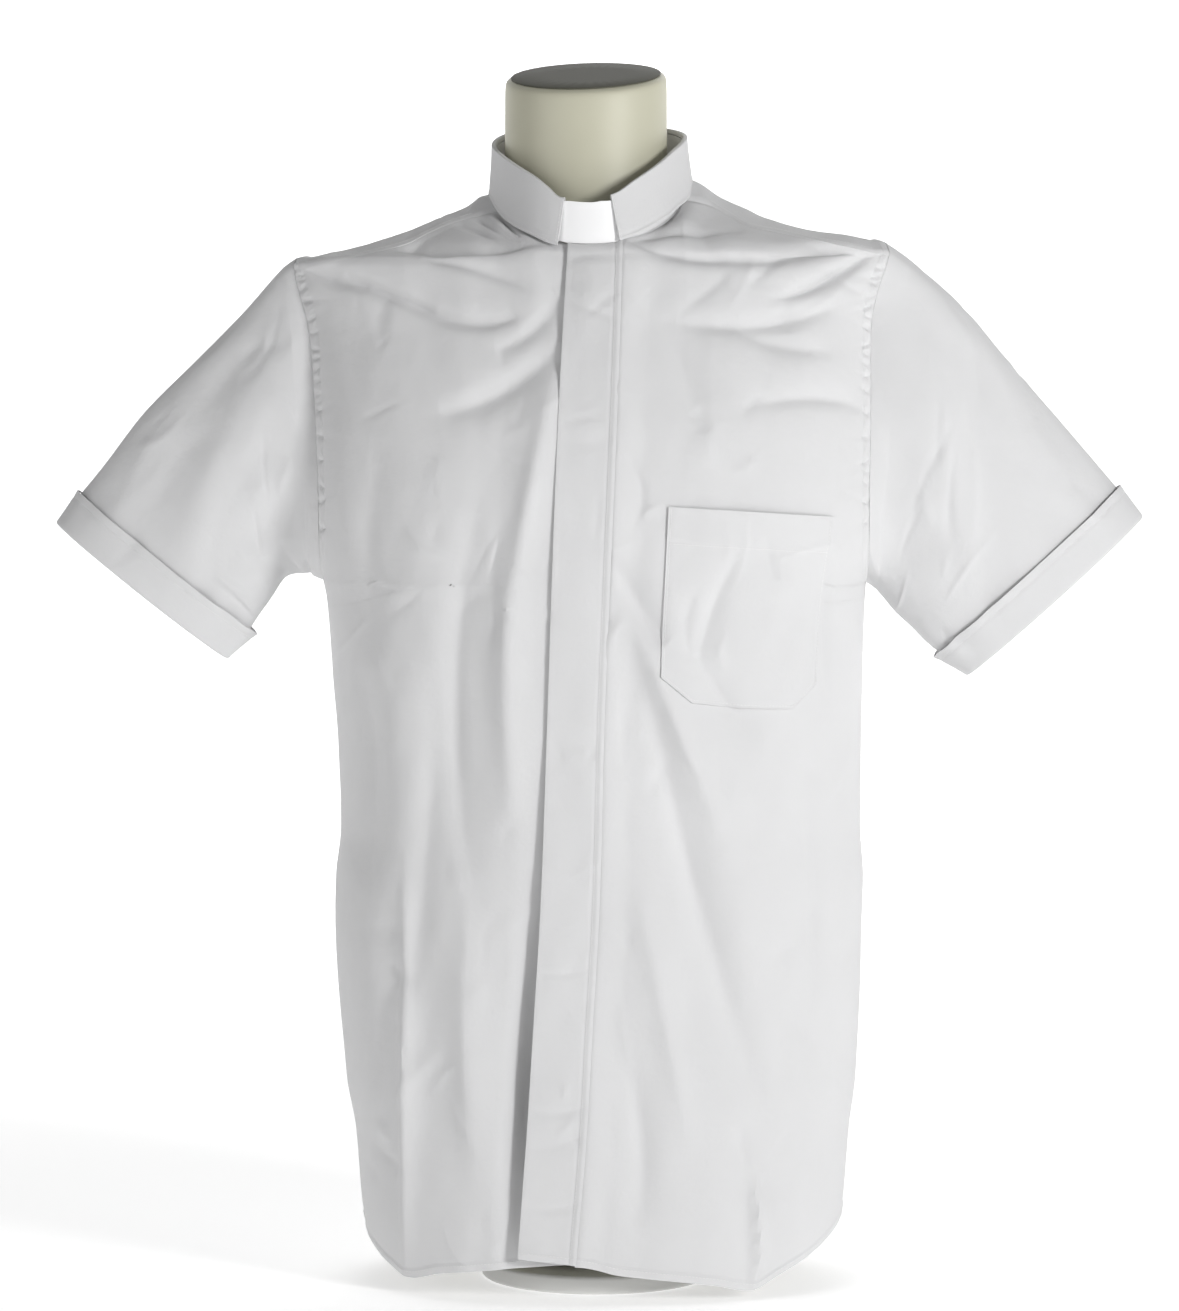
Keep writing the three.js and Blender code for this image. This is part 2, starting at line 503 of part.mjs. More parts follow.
function flyPlacket() {
  const columns = steps(FLY.columns).map((a) => {
    const across = (z) => mix(read(PLACKET, 'z', 'free', z), read(PLACKET, 'z', 'ridge', z), a);
    const angleAt = (z) => frontAngle(across(z), z);
    const low = mix(FLY.hemFree, FLY.hemRidge, a);
    const high = topOf(angleAt) - SEAM_GAP;
    return steps(FLY.rows).map((t) => clothPair('fly', angleAt(mix(low, high, t)), mix(low, high, t), PLY));
  });
  return range(columns[0].length).map((i) => columns.map((column) => column[i]));
}

function chestPocket() {
  return steps(POCKET.rows).map((v) => POCKET.columns.map((u) => {
    const top = mix(POCKET.topLeft.z, POCKET.topRight.z, u);
    const z = mix(top, read(POCKET.bottom, 'u', 'z', u), v);
    const x = mix(mix(POCKET.topLeft.x, POCKET.lowLeft, v), mix(POCKET.topRight.x, POCKET.lowRight, v), u);
    const open = POCKET.mouth * Math.sin(Math.PI * u) * (1 - v) ** 3;
    return clothPair('over', frontAngle(x, z), z, CLOTH, LAP + CLOTH + POCKET.proud + open);
  }));
}

// ---------------------------------------------------------------- yoke
const YOKE_DEPTH_ROWS = 10;
const NECK_COLUMNS = 12;
const RIDGE_EYE = SHOULDER_LEVELS.low;   // height from which the yoke's rows fan out
const INNER_BACK = 104;       // where the neck columns start along the back seam

// The point of the torso seen at an angle in the plane across a distance x.
function fanPoint(x, angle) {
  const inside = (reach) => {
    const y = -reach * Math.cos(angle);
    const z = RIDGE_EYE + reach * Math.sin(angle);
    if (z >= SHOULDER_LEVELS.top) return 1;
    const half = read(TORSO, 'z', x < 0 ? 'left' : 'right', z);
    const deep = read(TORSO, 'z', y < 0 ? 'front' : 'back', z);
    return (x / half) ** 2 + (y / deep) ** 2 - 1;
  };
  const reach = solve(0, 200, inside);
  return new THREE.Vector3(x, -reach * Math.cos(angle), RIDGE_EYE + reach * Math.sin(angle));
}

function yokeColumn(start, end) {
  const fan = (p) => Math.atan2(p.z - RIDGE_EYE, -p.y);
  const a0 = fan(start);
  const a1 = fan(end);
  return steps(YOKE_DEPTH_ROWS).map((t) => fanPoint(mix(start.x, end.x, t), mix(a0, a1, t)));
}

function yoke(rightTop, leftTop) {
  const seamPoint = (x) => {
    const z = yokeSeam(x) + SEAM_GAP;
    return torso(frontAngle(x, z), z);
  };
  const backPoint = (x) => {
    const z = BACK_SEAM + SEAM_GAP;
    const angle = frontAngle(x, z);
    return torso(Math.PI - angle, z);
  };
  const edge = (side, z) => (side === 'left' ? -1 : 1) * read(ARMHOLE, 'z', side, z);
  const columns = [];
  const neckPoint = (degrees) => {
    const p = neckPlan(degrees, SEAM_GAP);
    return new THREE.Vector3(p.x, p.y, shoulderHeight(p.x, p.y));
  };
  const shoulder = FRONT_COLUMNS - FRONT_CORNER;
  for (const j of range(shoulder + 1)) {
    const x = rightTop[FRONT_COLUMNS - j].outer.x;
    const backX = mix(edge('left', BACK_SEAM), -INNER_BACK, j / shoulder);
    columns.push(yokeColumn(seamPoint(x), backPoint(backX)));
  }
  for (const t of steps(NECK_COLUMNS).slice(1, -1)) {
    const degrees = mix(corner.left, corner.right - 360, t);
    columns.push(yokeColumn(neckPoint(degrees), backPoint(mix(-INNER_BACK, INNER_BACK, t))));
  }
  for (const j of range(shoulder + 1)) {
    const x = leftTop[FRONT_CORNER + j].outer.x;
    const backX = mix(INNER_BACK, edge('right', BACK_SEAM), j / shoulder);
    columns.push(yokeColumn(seamPoint(x), backPoint(backX)));
  }
  const grid = range(YOKE_DEPTH_ROWS + 1).map((i) => columns.map((column) => column[i]));
  return thicken(grid, CLOTH, false, 1);
}

// ---------------------------------------------------------------- sleeves and cuffs
// The armhole's edge as a ring of pairs: underarm, front, shoulder, back.
function armholeRing(side, front, back, shoulder) {
  const frontColumn = front[0].length - 1;
  const backColumn = side === 'left' ? back[0].length - 1 : 0;
  const yokeEdge = side === 'left' ? 0 : shoulder[0].length - 1;
  const ring = [];
  for (let i = SIDE_ROWS; i < front.length; i += 1) ring.push(front[i][frontColumn]);
  for (let i = 1; i < shoulder.length - 1; i += 1) ring.push(shoulder[i][yokeEdge]);
  for (let i = back.length - 1; i > SIDE_ROWS; i -= 1) ring.push(back[i][backColumn]);
  return ring;
}

function sleeveGrid(side, ring) {
  const sign = side === 'left' ? -1 : 1;
  const count = ring.length;
  const top = ring.reduce((best, pair, k) => (pair.outer.z > ring[best].outer.z ? k : best), 0);
  const girth = range(count).map((k) => (k <= top
    ? (0.5 * k) / top
    : 0.5 + (0.5 * (k - top)) / (count - top)));
  const column = (name, t) => read(SLEEVES[side], 't', name, t);
  const section = (g, t) => {
    const high = new THREE.Vector3(column('topX', t), 0, column('topZ', t));
    const low = new THREE.Vector3(column('lowX', t), 0, column('lowZ', t));
    const turn = 2 * Math.PI * g;
    const p = low.lerp(high, (1 - Math.cos(turn)) / 2);
    p.y = -column('depth', t) * Math.sin(turn);
    return p;
  };
  const fold = (g, t) => SLEEVE_FOLDS[side].reduce((sum, f) => {
    const share = clamp((t - f.t0) / (f.t1 - f.t0), 0, 1);
    const across = (g - mix(f.g0, f.g1, share)) / f.width;
    const beyond = (t - mix(f.t0, f.t1, share)) / SLEEVE_FOLD.end;
    const taper = Math.sin(Math.PI * mix(SLEEVE_FOLD.end, 1 - SLEEVE_FOLD.end, share));
    return sum + f.height * taper * Math.exp(-across * across - beyond * beyond);
  }, 0);
  return SLEEVE_ROWS.map((t) => range(count).map((k) => {
    const near = clamp(1 - t / SLEEVE_HEAD.length, 0, 1) ** 2;
    const shift = new THREE.Vector3(sign * SLEEVE_HEAD.out, 0, -SLEEVE_HEAD.down).multiplyScalar(t);
    const p = section(girth[k], t).lerp(ring[k].outer.clone().add(shift), near);
    const face = Math.sign(Math.sin(2 * Math.PI * girth[k]));
    p.y -= face * fold(girth[k], t) * (1 - near) * ease((1 - t) / SLEEVE_FOLD.fade);
    return p;
  }));
}

// The armhole's ring moved on along the cloth by the seam's gap.
function seamRing(ring, sign) {
  const count = ring.length;
  const middle = ring.reduce((sum, pair) => sum.add(pair.outer), new THREE.Vector3()).divideScalar(count);
  return ring.map((pair, k) => {
    const along = ring[(k + 1) % count].outer.clone().sub(ring[(k + count - 1) % count].outer);
    const onward = along.cross(pair.outer.clone().sub(pair.inner)).normalize();
    const aim = middle.clone().sub(pair.outer).normalize().multiplyScalar(0.5);
    aim.x += sign;
    onward.multiplyScalar(Math.sign(onward.dot(aim)) * CURVE_GAP);
    return { outer: pair.outer.clone().add(onward), inner: pair.inner.clone().add(onward) };
  });
}

function sleeve(side, ring) {
  const sign = side === 'left' ? -1 : 1;
  const grid = sleeveGrid(side, ring);
  const first = seamRing(ring, sign);
  const inwards = side === 'right';     // the grid's own normals point into the right sleeve
  const rest = thicken(grid, CLOTH, true, inwards ? 0 : 1);
  const swap = (pair) => (inwards ? { outer: pair.inner, inner: pair.outer } : pair);
  const pairs = rest.map((row) => row.map(swap));
  return { pairs: [first].concat(pairs), grid };
}

// A turned-up cuff: it starts under the sleeve's end, turns outwards and runs back up.
function cuff(side, grid) {
  const turned = side === 'right' ? -1 : 1;
  const end = grid[grid.length - 1];
  const before = grid[grid.length - 3];
  const count = end.length;
  const columns = range(count).map((k) => {
    const along = end[k].clone().sub(before[k]).normalize();
    const across = end[(k + 1) % count].clone().sub(end[(k + count - 1) % count]);
    const out = across.cross(along).multiplyScalar(turned).normalize();
    const middle = end[k].clone().addScaledVector(out, -CLOTH / 2);
    const place = (forward, lift) => middle.clone()
      .addScaledVector(along, forward).addScaledVector(out, lift);
    const turn = CUFF_TURN.map((d) => place(
      CUFF_EASE + FOLD_RADIUS * Math.sin(d * RAD), FOLD_RADIUS * (1 - Math.cos(d * RAD))));
    const back = CUFF_BACK.map((forward) => place(forward, 2 * FOLD_RADIUS));
    return [place(CURVE_GAP, 0)].concat(turn, back);
  });
  return range(columns[0].length).map((i) => columns.map((column) => column[i]));
}

// ---------------------------------------------------------------- collar
const collarTop = (degrees) => read(COLLAR, 'a', 'top', ((degrees + 540) % 360) - 180);
const collarLow = (degrees) => read(COLLAR, 'a', 'low', ((degrees + 540) % 360) - 180);
const FALL_CLEAR = PLY + LAP + 1.3;     // room between stand and fall for the tab
const STAND_DROP = 5;                   // the stand ends this far under the fold
const FALL_GAP = 1.3;                   // clearance between the stand's top and the fall's hidden edge
const STAND_CLEAR = 2;                  // the stand starts this far over the neckline
const FALL_REST = 4.3;                  // height of the fall's lower edge over the shoulders
const COLLAR_LEAN = { from: 790, over: 100, left: 2.5, back: 9 };   // it leans back as it rises
const STAND_GRID = { columns: 36, rows: 3 };
const FALL_COLUMNS = 34;
const FALL_SHARES = [0.15, 0.45, 0.75, 1];      // rows down the outside of the fall
const TAB_GRID = { columns: 8, rows: 3, thickness: 1, clear: 2, drop: 3.2 };

function collarPoint(degrees, margin, z) {
  const p = neckPlan(degrees, margin);
  const lean = clamp((z - COLLAR_LEAN.from) / COLLAR_LEAN.over, 0, 1);
  return new THREE.Vector3(p.x - COLLAR_LEAN.left * lean, p.y + COLLAR_LEAN.back * lean, z);
}

function collarStand() {
  const gap = SEAM_GAP / NECK.front / RAD;
  const angles = steps(STAND_GRID.columns).map((t) => mix(STAND_SPLIT + gap, STAND_SPLIT + 360 - gap, t));
  const grid = steps(STAND_GRID.rows).map((t) => angles.map((a) => {
    const low = neckHeight(a) + STAND_CLEAR;
    return collarPoint(a, 0, mix(low, collarTop(a) - STAND_DROP, t));
  }));
  return thicken(grid, PLY, false, 1);
}

function collarFall() {
  const fallRow = (share, margin, drop) => steps(FALL_COLUMNS).map((t) => {
    const left = mix(FALL_ENDS.topLeft, FALL_ENDS.lowLeft, share);
    const right = mix(FALL_ENDS.topRight, FALL_ENDS.lowRight, share);
    const a = mix(right, left + 360, t);
    const edge = neckPlan(a, margin + 1);
    const rest = shoulderHeight(edge.x, edge.y) + FALL_REST;
    const z = mix(collarTop(a) - PLY / 2, Math.max(collarLow(a), rest), share) - drop;
    return collarPoint(a, margin, z);
  });
  const under = -PLY / 2;
  const outside = FALL_CLEAR - PLY / 2;
  const middle = (under + outside) / 2;
  const grid = [
    fallRow(0, under, STAND_DROP - PLY / 2 - FALL_GAP),
    fallRow(0, under + 0.5, 1),
    fallRow(0, middle, 0),
    fallRow(0, outside - 0.3, 1),
  ];
  for (const share of FALL_SHARES) {
    grid.push(fallRow(share, outside + COLLAR_FLARE * share ** 1.5, 0));
  }
  return thicken(grid, PLY, false, 0.5);
}

function collarTab() {
  const { columns, rows, thickness, clear, drop } = TAB_GRID;
  const base = neckHeight(0) + STAND_REVEAL;
  const grid = steps(rows).map((v) => steps(columns).map((t) => {
    const a = mix(TAB_ENDS.left, TAB_ENDS.right, t);
    const sag = TAB_SAG * (1 - ((2 * t - 1) ** 2));
    const low = Math.max(base + TAB_SAG - sag, neckHeight(a) + clear);
    const high = Math.min(base + TAB_HEIGHT - sag / 2, collarTop(a) - drop);
    return collarPoint(a, LAP + thickness / 2, mix(low, high, v));
  }));
  return thicken(grid, thickness, false, 0.5);
}

// ---------------------------------------------------------------- dress form
// Closes a stack of rings with a flat fan at each end.
function stack(rings) {
  const count = rings[0].length;
  const position = rings.flat().flatMap((p) => p.toArray());
  const index = [];
  for (let i = 0; i < rings.length - 1; i += 1) {
    for (let j = 0; j < count; j += 1) {
      const a = i * count + j;
      const b = i * count + ((j + 1) % count);
      index.push(a, b, b + count, a, b + count, a + count);
    }
  }
  for (const [first, up] of [[0, false], [rings.length - 1, true]]) {
    const middle = rings[first].reduce((sum, p) => sum.add(p), new THREE.Vector3()).divideScalar(count);
    const hub = position.length / 3;
    position.push(...middle.toArray());
    for (let j = 0; j < count; j += 1) {
      const a = first * count + j;
      const b = first * count + ((j + 1) % count);
      index.push(...(up ? [a, b, hub] : [b, a, hub]));
    }
  }
  return solid(position, index);
}

const FORM_SIDES = 32;
const formAngles = range(FORM_SIDES).map((k) => (2 * Math.PI * k) / FORM_SIDES);

// Reach of an off-centre oval from the axis, in one direction.
function reach(angle, oval, cx = 0, cy = 0) {
  const dx = Math.sin(angle);
  const dy = -Math.cos(angle);
  return solve(0, 300, (r) => {
    const x = r * dx - cx;
    const y = r * dy - cy;
    const half = x < 0 ? oval.left : oval.right;
    const deep = y < 0 ? oval.front : oval.back;
    return (x / half) ** 2 + (y / deep) ** 2 - 1;
  });
}

function neckReach(angle, z) {
  const flare = 1 - ease((z - NECK_FLARE.from) / NECK_FLARE.over);
  const side = FORM_NECK.side + NECK_FLARE.wide * flare;
  const oval = {
    left: side,
    right: side,
    front: FORM_NECK.front + NECK_FLARE.front * flare,
    back: FORM_NECK.back + NECK_FLARE.wide * flare,
  };
  return reach(angle, oval, FORM_NECK.x, FORM_NECK.y);
}

// The neck's top is a plane that rises to the back.
const topPlane = (x, y) => NECK_TOP.z + NECK_TOP.backRise * y + NECK_TOP.rightRise * x;

function formTorso() {
  const rings = FORM.map((row) => formAngles.map((angle) => {
    const r = reach(angle, { left: row.side, right: row.side, front: row.front, back: row.back });
    return new THREE.Vector3(r * Math.sin(angle), -r * Math.cos(angle), row.z);
  }));
  for (const seatZ of SHOULDER_ROWS) {
    const z = seatZ - SEAT.drop;
    const nearNeck = clamp((seatZ - NECK_SLACK.from) / (NECK_SLACK.to - NECK_SLACK.from), 0, 1);
    const slack = NECK_SLACK.most * nearNeck;
    const share = (seatZ - SHOULDER_LIMIT.from) / SHOULDER_LIMIT.over;
    const limit = mix(SHOULDER_LIMIT.wide, SHOULDER_LIMIT.narrow, share);
    const oval = {};
    for (const name of ['left', 'right', 'front', 'back']) {
      oval[name] = read(TORSO, 'z', name, seatZ) - SEAT[name] - slack;
    }
    oval.left = Math.min(oval.left, limit);
    oval.right = Math.min(oval.right, limit);
    rings.push(formAngles.map((angle) => {
      const r = Math.max(reach(angle, oval), neckReach(angle, z));
      return new THREE.Vector3(r * Math.sin(angle), -r * Math.cos(angle), z);
    }));
  }
  for (const z of NECK_ROWS) {
    rings.push(formAngles.map((angle) => {
      const r = neckReach(angle, z);
      const share = ease((z - NECK_TILT.from) / NECK_TILT.over);
      const x = r * Math.sin(angle);
      const y = -r * Math.cos(angle);
      return new THREE.Vector3(x, y, mix(z, topPlane(x, y) - NECK_TOP.round, share));
    }));
  }
  for (const d of [45, 90]) {
    rings.push(formAngles.map((angle) => {
      const r = neckReach(angle, NECK_RIM) - NECK_TOP.round * (1 - Math.cos(d * RAD));
      const x = r * Math.sin(angle);
      const y = -r * Math.cos(angle);
      return new THREE.Vector3(x, y, topPlane(x, y) - NECK_TOP.round * (1 - Math.sin(d * RAD)));
    }));
  }
  return stack(rings);
}

function neckCap() {
  return stack(CAP_PLATE.map(({ inset, rise }) => formAngles.map((angle) => {
    const r = neckReach(angle, NECK_RIM) - NECK_TOP.round - inset;
    const x = r * Math.sin(angle);
    const y = -r * Math.cos(angle);
    return new THREE.Vector3(x, y, topPlane(x, y) + rise);
  })));
}

function foot() {
  const { radius, thickness, bevel, sides } = FOOT;
  const profile = [
    [0, 0], [radius, 0], [radius, thickness - bevel], [radius - bevel, thickness], [0, thickness],
  ];
  const geometry = new THREE.LatheGeometry(profile.map(([x, y]) => new THREE.Vector2(x, y)), sides);
  geometry.rotateX(Math.PI / 2);
  return geometry;
}

// ---------------------------------------------------------------- the pieces
const rightFront = frontPanel('left');    // worn on the wearer's right, seen on the left
const leftFront = frontPanel('right');
const back = backPanel();
const yokePairs = yoke(rightFront[rightFront.length - 1], leftFront[leftFront.length - 1]);
add('right_front', wall(rightFront), WHITE_COTTON);
add('left_front', wall(leftFront), WHITE_COTTON);
add('back', wall(back), WHITE_COTTON);
add('yoke', wall(yokePairs), WHITE_COTTON);
add('fly_placket', wall(flyPlacket()), WHITE_COTTON);
add('chest_pocket', wall(chestPocket()), WHITE_COTTON);
const sides = [
  { side: 'left', name: 'right', front: rightFront },
  { side: 'right', name: 'left', front: leftFront },
];
for (const { side, name, front } of sides) {
  const made = sleeve(side, armholeRing(side, front, back, yokePairs));
  add(`${name}_sleeve`, wall(made.pairs, true), WHITE_COTTON);
  const turnUp = cuff(side, made.grid);
  add(`${name}_cuff`, wall(thicken(turnUp, CLOTH, true, 0.5), true), WHITE_COTTON);
}
add('collar_stand', wall(collarStand()), WHITE_COTTON);
add('collar_fall', wall(collarFall()), WHITE_COTTON);
add('collar_tab', wall(collarTab()), TAB_WHITE);
add('form_torso', formTorso(), FORM_CREAM);
add('form_neck_cap', neckCap(), FORM_DARK);
add('form_foot', foot(), FORM_CREAM);

export default part;
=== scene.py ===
# %% [markdown]
# # A clergy shirt on a dress form
# The shirt is sewn from flat pieces of white cotton poplin: two fronts, a back, a shoulder yoke,
# two sleeves with turned-up cuffs, a collar stand and a collar that folds over it. A white tab
# slides into the front of the collar. Each piece is made here as its own thin sheet, on the same
# form as its solid in the frame, and then gets the folds and the sewing that a solid leaves out.
# We load the frame first, because every sheet has to lie on it.

# %% Load the frame
import math
import bpy
import numpy as np
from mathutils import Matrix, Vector


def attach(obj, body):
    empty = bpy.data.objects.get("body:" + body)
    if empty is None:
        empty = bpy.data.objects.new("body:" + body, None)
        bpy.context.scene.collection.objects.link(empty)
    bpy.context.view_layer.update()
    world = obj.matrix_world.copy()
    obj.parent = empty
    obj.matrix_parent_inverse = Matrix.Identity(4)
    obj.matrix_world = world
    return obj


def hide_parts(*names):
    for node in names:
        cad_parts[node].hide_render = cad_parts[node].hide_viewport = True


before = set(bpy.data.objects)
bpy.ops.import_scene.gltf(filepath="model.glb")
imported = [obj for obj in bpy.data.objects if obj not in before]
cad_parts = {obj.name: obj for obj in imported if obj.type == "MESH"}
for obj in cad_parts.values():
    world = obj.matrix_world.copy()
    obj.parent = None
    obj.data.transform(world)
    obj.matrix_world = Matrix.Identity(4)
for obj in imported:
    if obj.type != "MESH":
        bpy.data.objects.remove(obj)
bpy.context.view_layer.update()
MM = 0.001

# %% [markdown]
# ## The camera
# A shirt like this is shown straight from the front with a long lens, so that the sleeves and the
# hem aren't drawn out of shape. The camera stands 3.4 m away and looks down by three degrees.
# Its lens follows from the scale: so many millimetres of shirt for each pixel of the picture.

# %% Camera
IMAGE_HEIGHT = 1311
SCALE = 0.76                 # millimetres of shirt to a pixel, in the plane of the shoulders
DISTANCE = 3400
LOOK_DOWN = math.radians(3)
AIM = (-5.7, 0.0, 473.5)
SENSOR = 36.0

camera_data = bpy.data.cameras.new("front_camera")
camera = bpy.data.objects.new("front_camera", camera_data)
bpy.context.scene.collection.objects.link(camera)
camera.location = Vector((AIM[0], -DISTANCE * math.cos(LOOK_DOWN),
                          AIM[2] + DISTANCE * math.sin(LOOK_DOWN))) * MM
camera.rotation_euler = (math.pi / 2 - LOOK_DOWN, 0, 0)
camera_data.sensor_width = SENSOR
camera_data.lens = SENSOR * DISTANCE / (SCALE * IMAGE_HEIGHT)
camera_data.clip_end = 40
bpy.context.scene.camera = camera
print("lens", round(camera_data.lens, 1), "mm")

# %% [markdown]
# ## Floor and light
# White cloth only shows its folds when the light comes from one side. A large soft lamp stands to
# the right in front, a weaker one fills from the left, and the pale floor sweeps up far behind the
# shirt so that there is no horizon. The sweep is a plane whose back edge is extruded up an arc. The
# lamps hardly reach it, so the floor is given a glow that grows towards the back.

# %% A floor that sweeps up behind
def deselect():
    if bpy.context.object and bpy.context.object.mode != "OBJECT":
        bpy.ops.object.mode_set(mode="OBJECT")
    bpy.ops.object.select_all(action="DESELECT")


def material(name, colour, roughness, **sockets):
    """A named material with its plain values on the shader's own sockets."""
    made = bpy.data.materials.new(name)
    made.use_nodes = True
    shader = made.node_tree.nodes["Principled BSDF"]
    shader.inputs["Base Color"].default_value = (*colour, 1)
    shader.inputs["Roughness"].default_value = roughness
    for socket, value in sockets.items():
        shader.inputs[socket.replace("_", " ")].default_value = value
    return made, made.node_tree.nodes, made.node_tree.links, shader


FLOOR_WIDTH, FLOOR_DEPTH, FLOOR_MIDDLE = 12, 7.0, -0.7
SWEEP_RADIUS, SWEEP_STEPS, WALL_HEIGHT = 1.3, 12, 4
deselect()
bpy.ops.mesh.primitive_plane_add(size=1, location=(0, 0, 0))
floor = bpy.context.object
floor.name = "studio_floor"
floor.location = (0, FLOOR_MIDDLE, 0)
floor.scale = (FLOOR_WIDTH, FLOOR_DEPTH, 1)
bpy.ops.object.transform_apply(location=True, scale=True)
for step in range(1, SWEEP_STEPS + 1):
    turn = math.pi / 2 * step / SWEEP_STEPS
    last = math.pi / 2 * (step - 1) / SWEEP_STEPS
    bpy.ops.object.mode_set(mode="EDIT")
    bpy.ops.mesh.select_all(action="DESELECT")
    bpy.ops.object.mode_set(mode="OBJECT")
    back = max(v.co.y for v in floor.data.vertices)
    for edge in floor.data.edges:
        edge.select = all(abs(floor.data.vertices[k].co.y - back) < 1e-6 for k in edge.vertices)
    bpy.ops.object.mode_set(mode="EDIT")
    bpy.ops.mesh.select_mode(type="EDGE")
    step_back = SWEEP_RADIUS * (math.sin(turn) - math.sin(last))
    step_up = SWEEP_RADIUS * (math.cos(last) - math.cos(turn))
    bpy.ops.mesh.extrude_region_move(TRANSFORM_OT_translate={"value": (0, step_back, step_up)})
bpy.ops.mesh.extrude_region_move(TRANSFORM_OT_translate={"value": (0, 0.001, WALL_HEIGHT)})
bpy.ops.object.mode_set(mode="OBJECT")
bpy.ops.object.shade_smooth()
print("floor", len(floor.data.polygons), "faces")

# %% The floor's paint and glow
FLOOR_GLOW = {"From Min": 0.4, "From Max": 2.6, "To Min": 0.5, "To Max": 1.0}   # metres, strength

floor_paint, nodes, links, shader = material("pale_floor", (0.80, 0.80, 0.80), 0.9)
shader.inputs["Emission Color"].default_value = (1, 1, 1, 1)
coords, axes, glow = (nodes.new("ShaderNode" + kind) for kind in ("TexCoord", "SeparateXYZ", "MapRange"))
glow.interpolation_type = "SMOOTHSTEP"
for socket, value in FLOOR_GLOW.items():
    glow.inputs[socket].default_value = value
links.new(coords.outputs["Object"], axes.inputs["Vector"])
links.new(axes.outputs["Y"], glow.inputs["Value"])
links.new(glow.outputs["Result"], shader.inputs["Emission Strength"])
floor.data.materials.append(floor_paint)

# %% Lamps
def lamp(name, place, target, size, power):
    data = bpy.data.lights.new(name, "AREA")
    data.shape = "RECTANGLE"
    data.size, data.size_y = size
    data.energy = power
    made = bpy.data.objects.new(name, data)
    bpy.context.scene.collection.objects.link(made)
    made.location = place
    made.rotation_euler = (Vector(target) - Vector(place)).to_track_quat("-Z", "Y").to_euler()
    return made


lamp("key_right", (2.2, -2.2, 1.15), (0, 0, 0.45), (0.6, 0.8), 57)
lamp("fill_left", (-2.6, -2.2, 1.3), (0, 0, 0.5), (1.6, 1.8), 20)
lamp("back_soft", (0.6, 2.4, 2.2), (0, 0, 0.6), (1.6, 1.2), 8)
world = bpy.data.worlds.new("studio_world")
bpy.context.scene.world = world
world.use_nodes = True
world.node_tree.nodes["Background"].inputs["Color"].default_value = (1, 1, 1, 1)
world.node_tree.nodes["Background"].inputs["Strength"].default_value = 0.15
bpy.context.scene.view_settings.view_transform = "Standard"

# %% [markdown]
# ## Reading sizes from short tables
# A pattern cutter works from a few measures at named levels. The same is done here: each table
# gives sizes at a few heights, and `read` draws a smooth curve through them that never swings past
# a given value, which an ordinary spline would do and which would show as a dent in the cloth.

# %% Tables of sizes
def table(names, *rows):
    """Columns by name from a short table."""
    return dict(zip(names.split(), np.array(rows, float).T))


def read(tab, key, column, at):
    keys, values = tab[key], tab[column]
    at = np.clip(at, keys[0], keys[-1])
    span = np.diff(keys)
    step = np.diff(values) / span
    slope = np.concatenate([step[:1], np.zeros(len(step) - 1), step[-1:]])
    before, after = step[:-1], step[1:]
    smooth = before * after > 0
    slope[1:-1][smooth] = (2 * before * after)[smooth] / (before + after)[smooth]
    i = np.clip(np.searchsorted(keys, at, side="right") - 1, 0, len(keys) - 2)
    t = (at - keys[i]) / span[i]
    rise = np.diff(values)[i]
    m0, m1 = slope[i] * span[i], slope[i + 1] * span[i]
    return values[i] + t * (m0 + t * (3 * rise - 2 * m0 - m1 + t * (m0 + m1 - 2 * rise)))


def mix(a, b, t):
    return a + (b - a) * t


def ease(v):
    t = np.clip(v, 0, 1)
    return t * t * (3 - 2 * t)


def unit(v):
    return v / np.maximum(np.linalg.norm(v, axis=-1, keepdims=True), 1e-9)


def solve(low, high, rising, steps=40):
    """Where a rising function crosses zero, for many places at once."""
    a, b = low + 0.0, high + 0.0
    for _ in range(steps):
        m = (a + b) / 2
        over = rising(m) > 0
        a, b = np.where(over, a, m), np.where(over, m, b)
    return (a + b) / 2


# %% The shirt's sizes, in millimetres
TORSO = table("z left right front back square",
              (0, 166, 174, 121, 112, 0.07), (56, 179, 188, 122, 112, 0.07),
              (114, 184, 192, 122, 112, 0.07), (153, 191, 196, 123, 111, 0.07),
              (268, 199, 201, 125, 108, 0.07), (306, 198, 202, 126, 107, 0.07),
              (344, 194, 200, 127, 106, 0.07), (401, 196, 200, 128, 107, 0.07),
              (455, 200, 201, 130, 111, 0.07), (516, 205, 203, 133, 117, 0.06),
              (531, 208, 204, 134, 119, 0.06), (556, 216, 212, 135, 121, 0.05),
              (586, 220, 216, 135, 124, 0.05), (636, 222, 218, 131, 127, 0.04),
              (686, 224, 219, 121, 126, 0.02), (726, 228, 222, 109, 121, 0),
              (751, 233, 229, 100, 116, 0), (766, 235, 234, 95, 112, 0),
              (773, 229, 235, 92, 109, 0), (776, 212, 234, 91, 108, 0),
              (784, 178, 222, 83, 103, 0), (792, 150, 184, 71, 97, 0),
              (802, 127, 134, 55, 88, 0), (813, 98, 110, 40, 80, 0),
              (819, 83, 97, 34, 76, 0), (830, 70, 76, 24, 72, 0), (836, 58, 64, 14, 64, 0))
ARMHOLE = table("z left right",
                (526, 208, 203), (586, 208, 202), (652, 210, 203), (704, 213, 204), (727, 216, 205),
                (748, 222, 209), (764, 226, 214), (781, 228, 220), (790, 229, 223))
YOKE_SEAM = table("x z",
                  (-232, 764), (-200, 770), (-178, 775), (-142, 784), (-125, 793), (-106, 801),
                  (-82, 807), (-60, 812), (60, 818), (83, 814), (95, 808), (112, 798),
                  (134, 793), (184, 782), (232, 772))
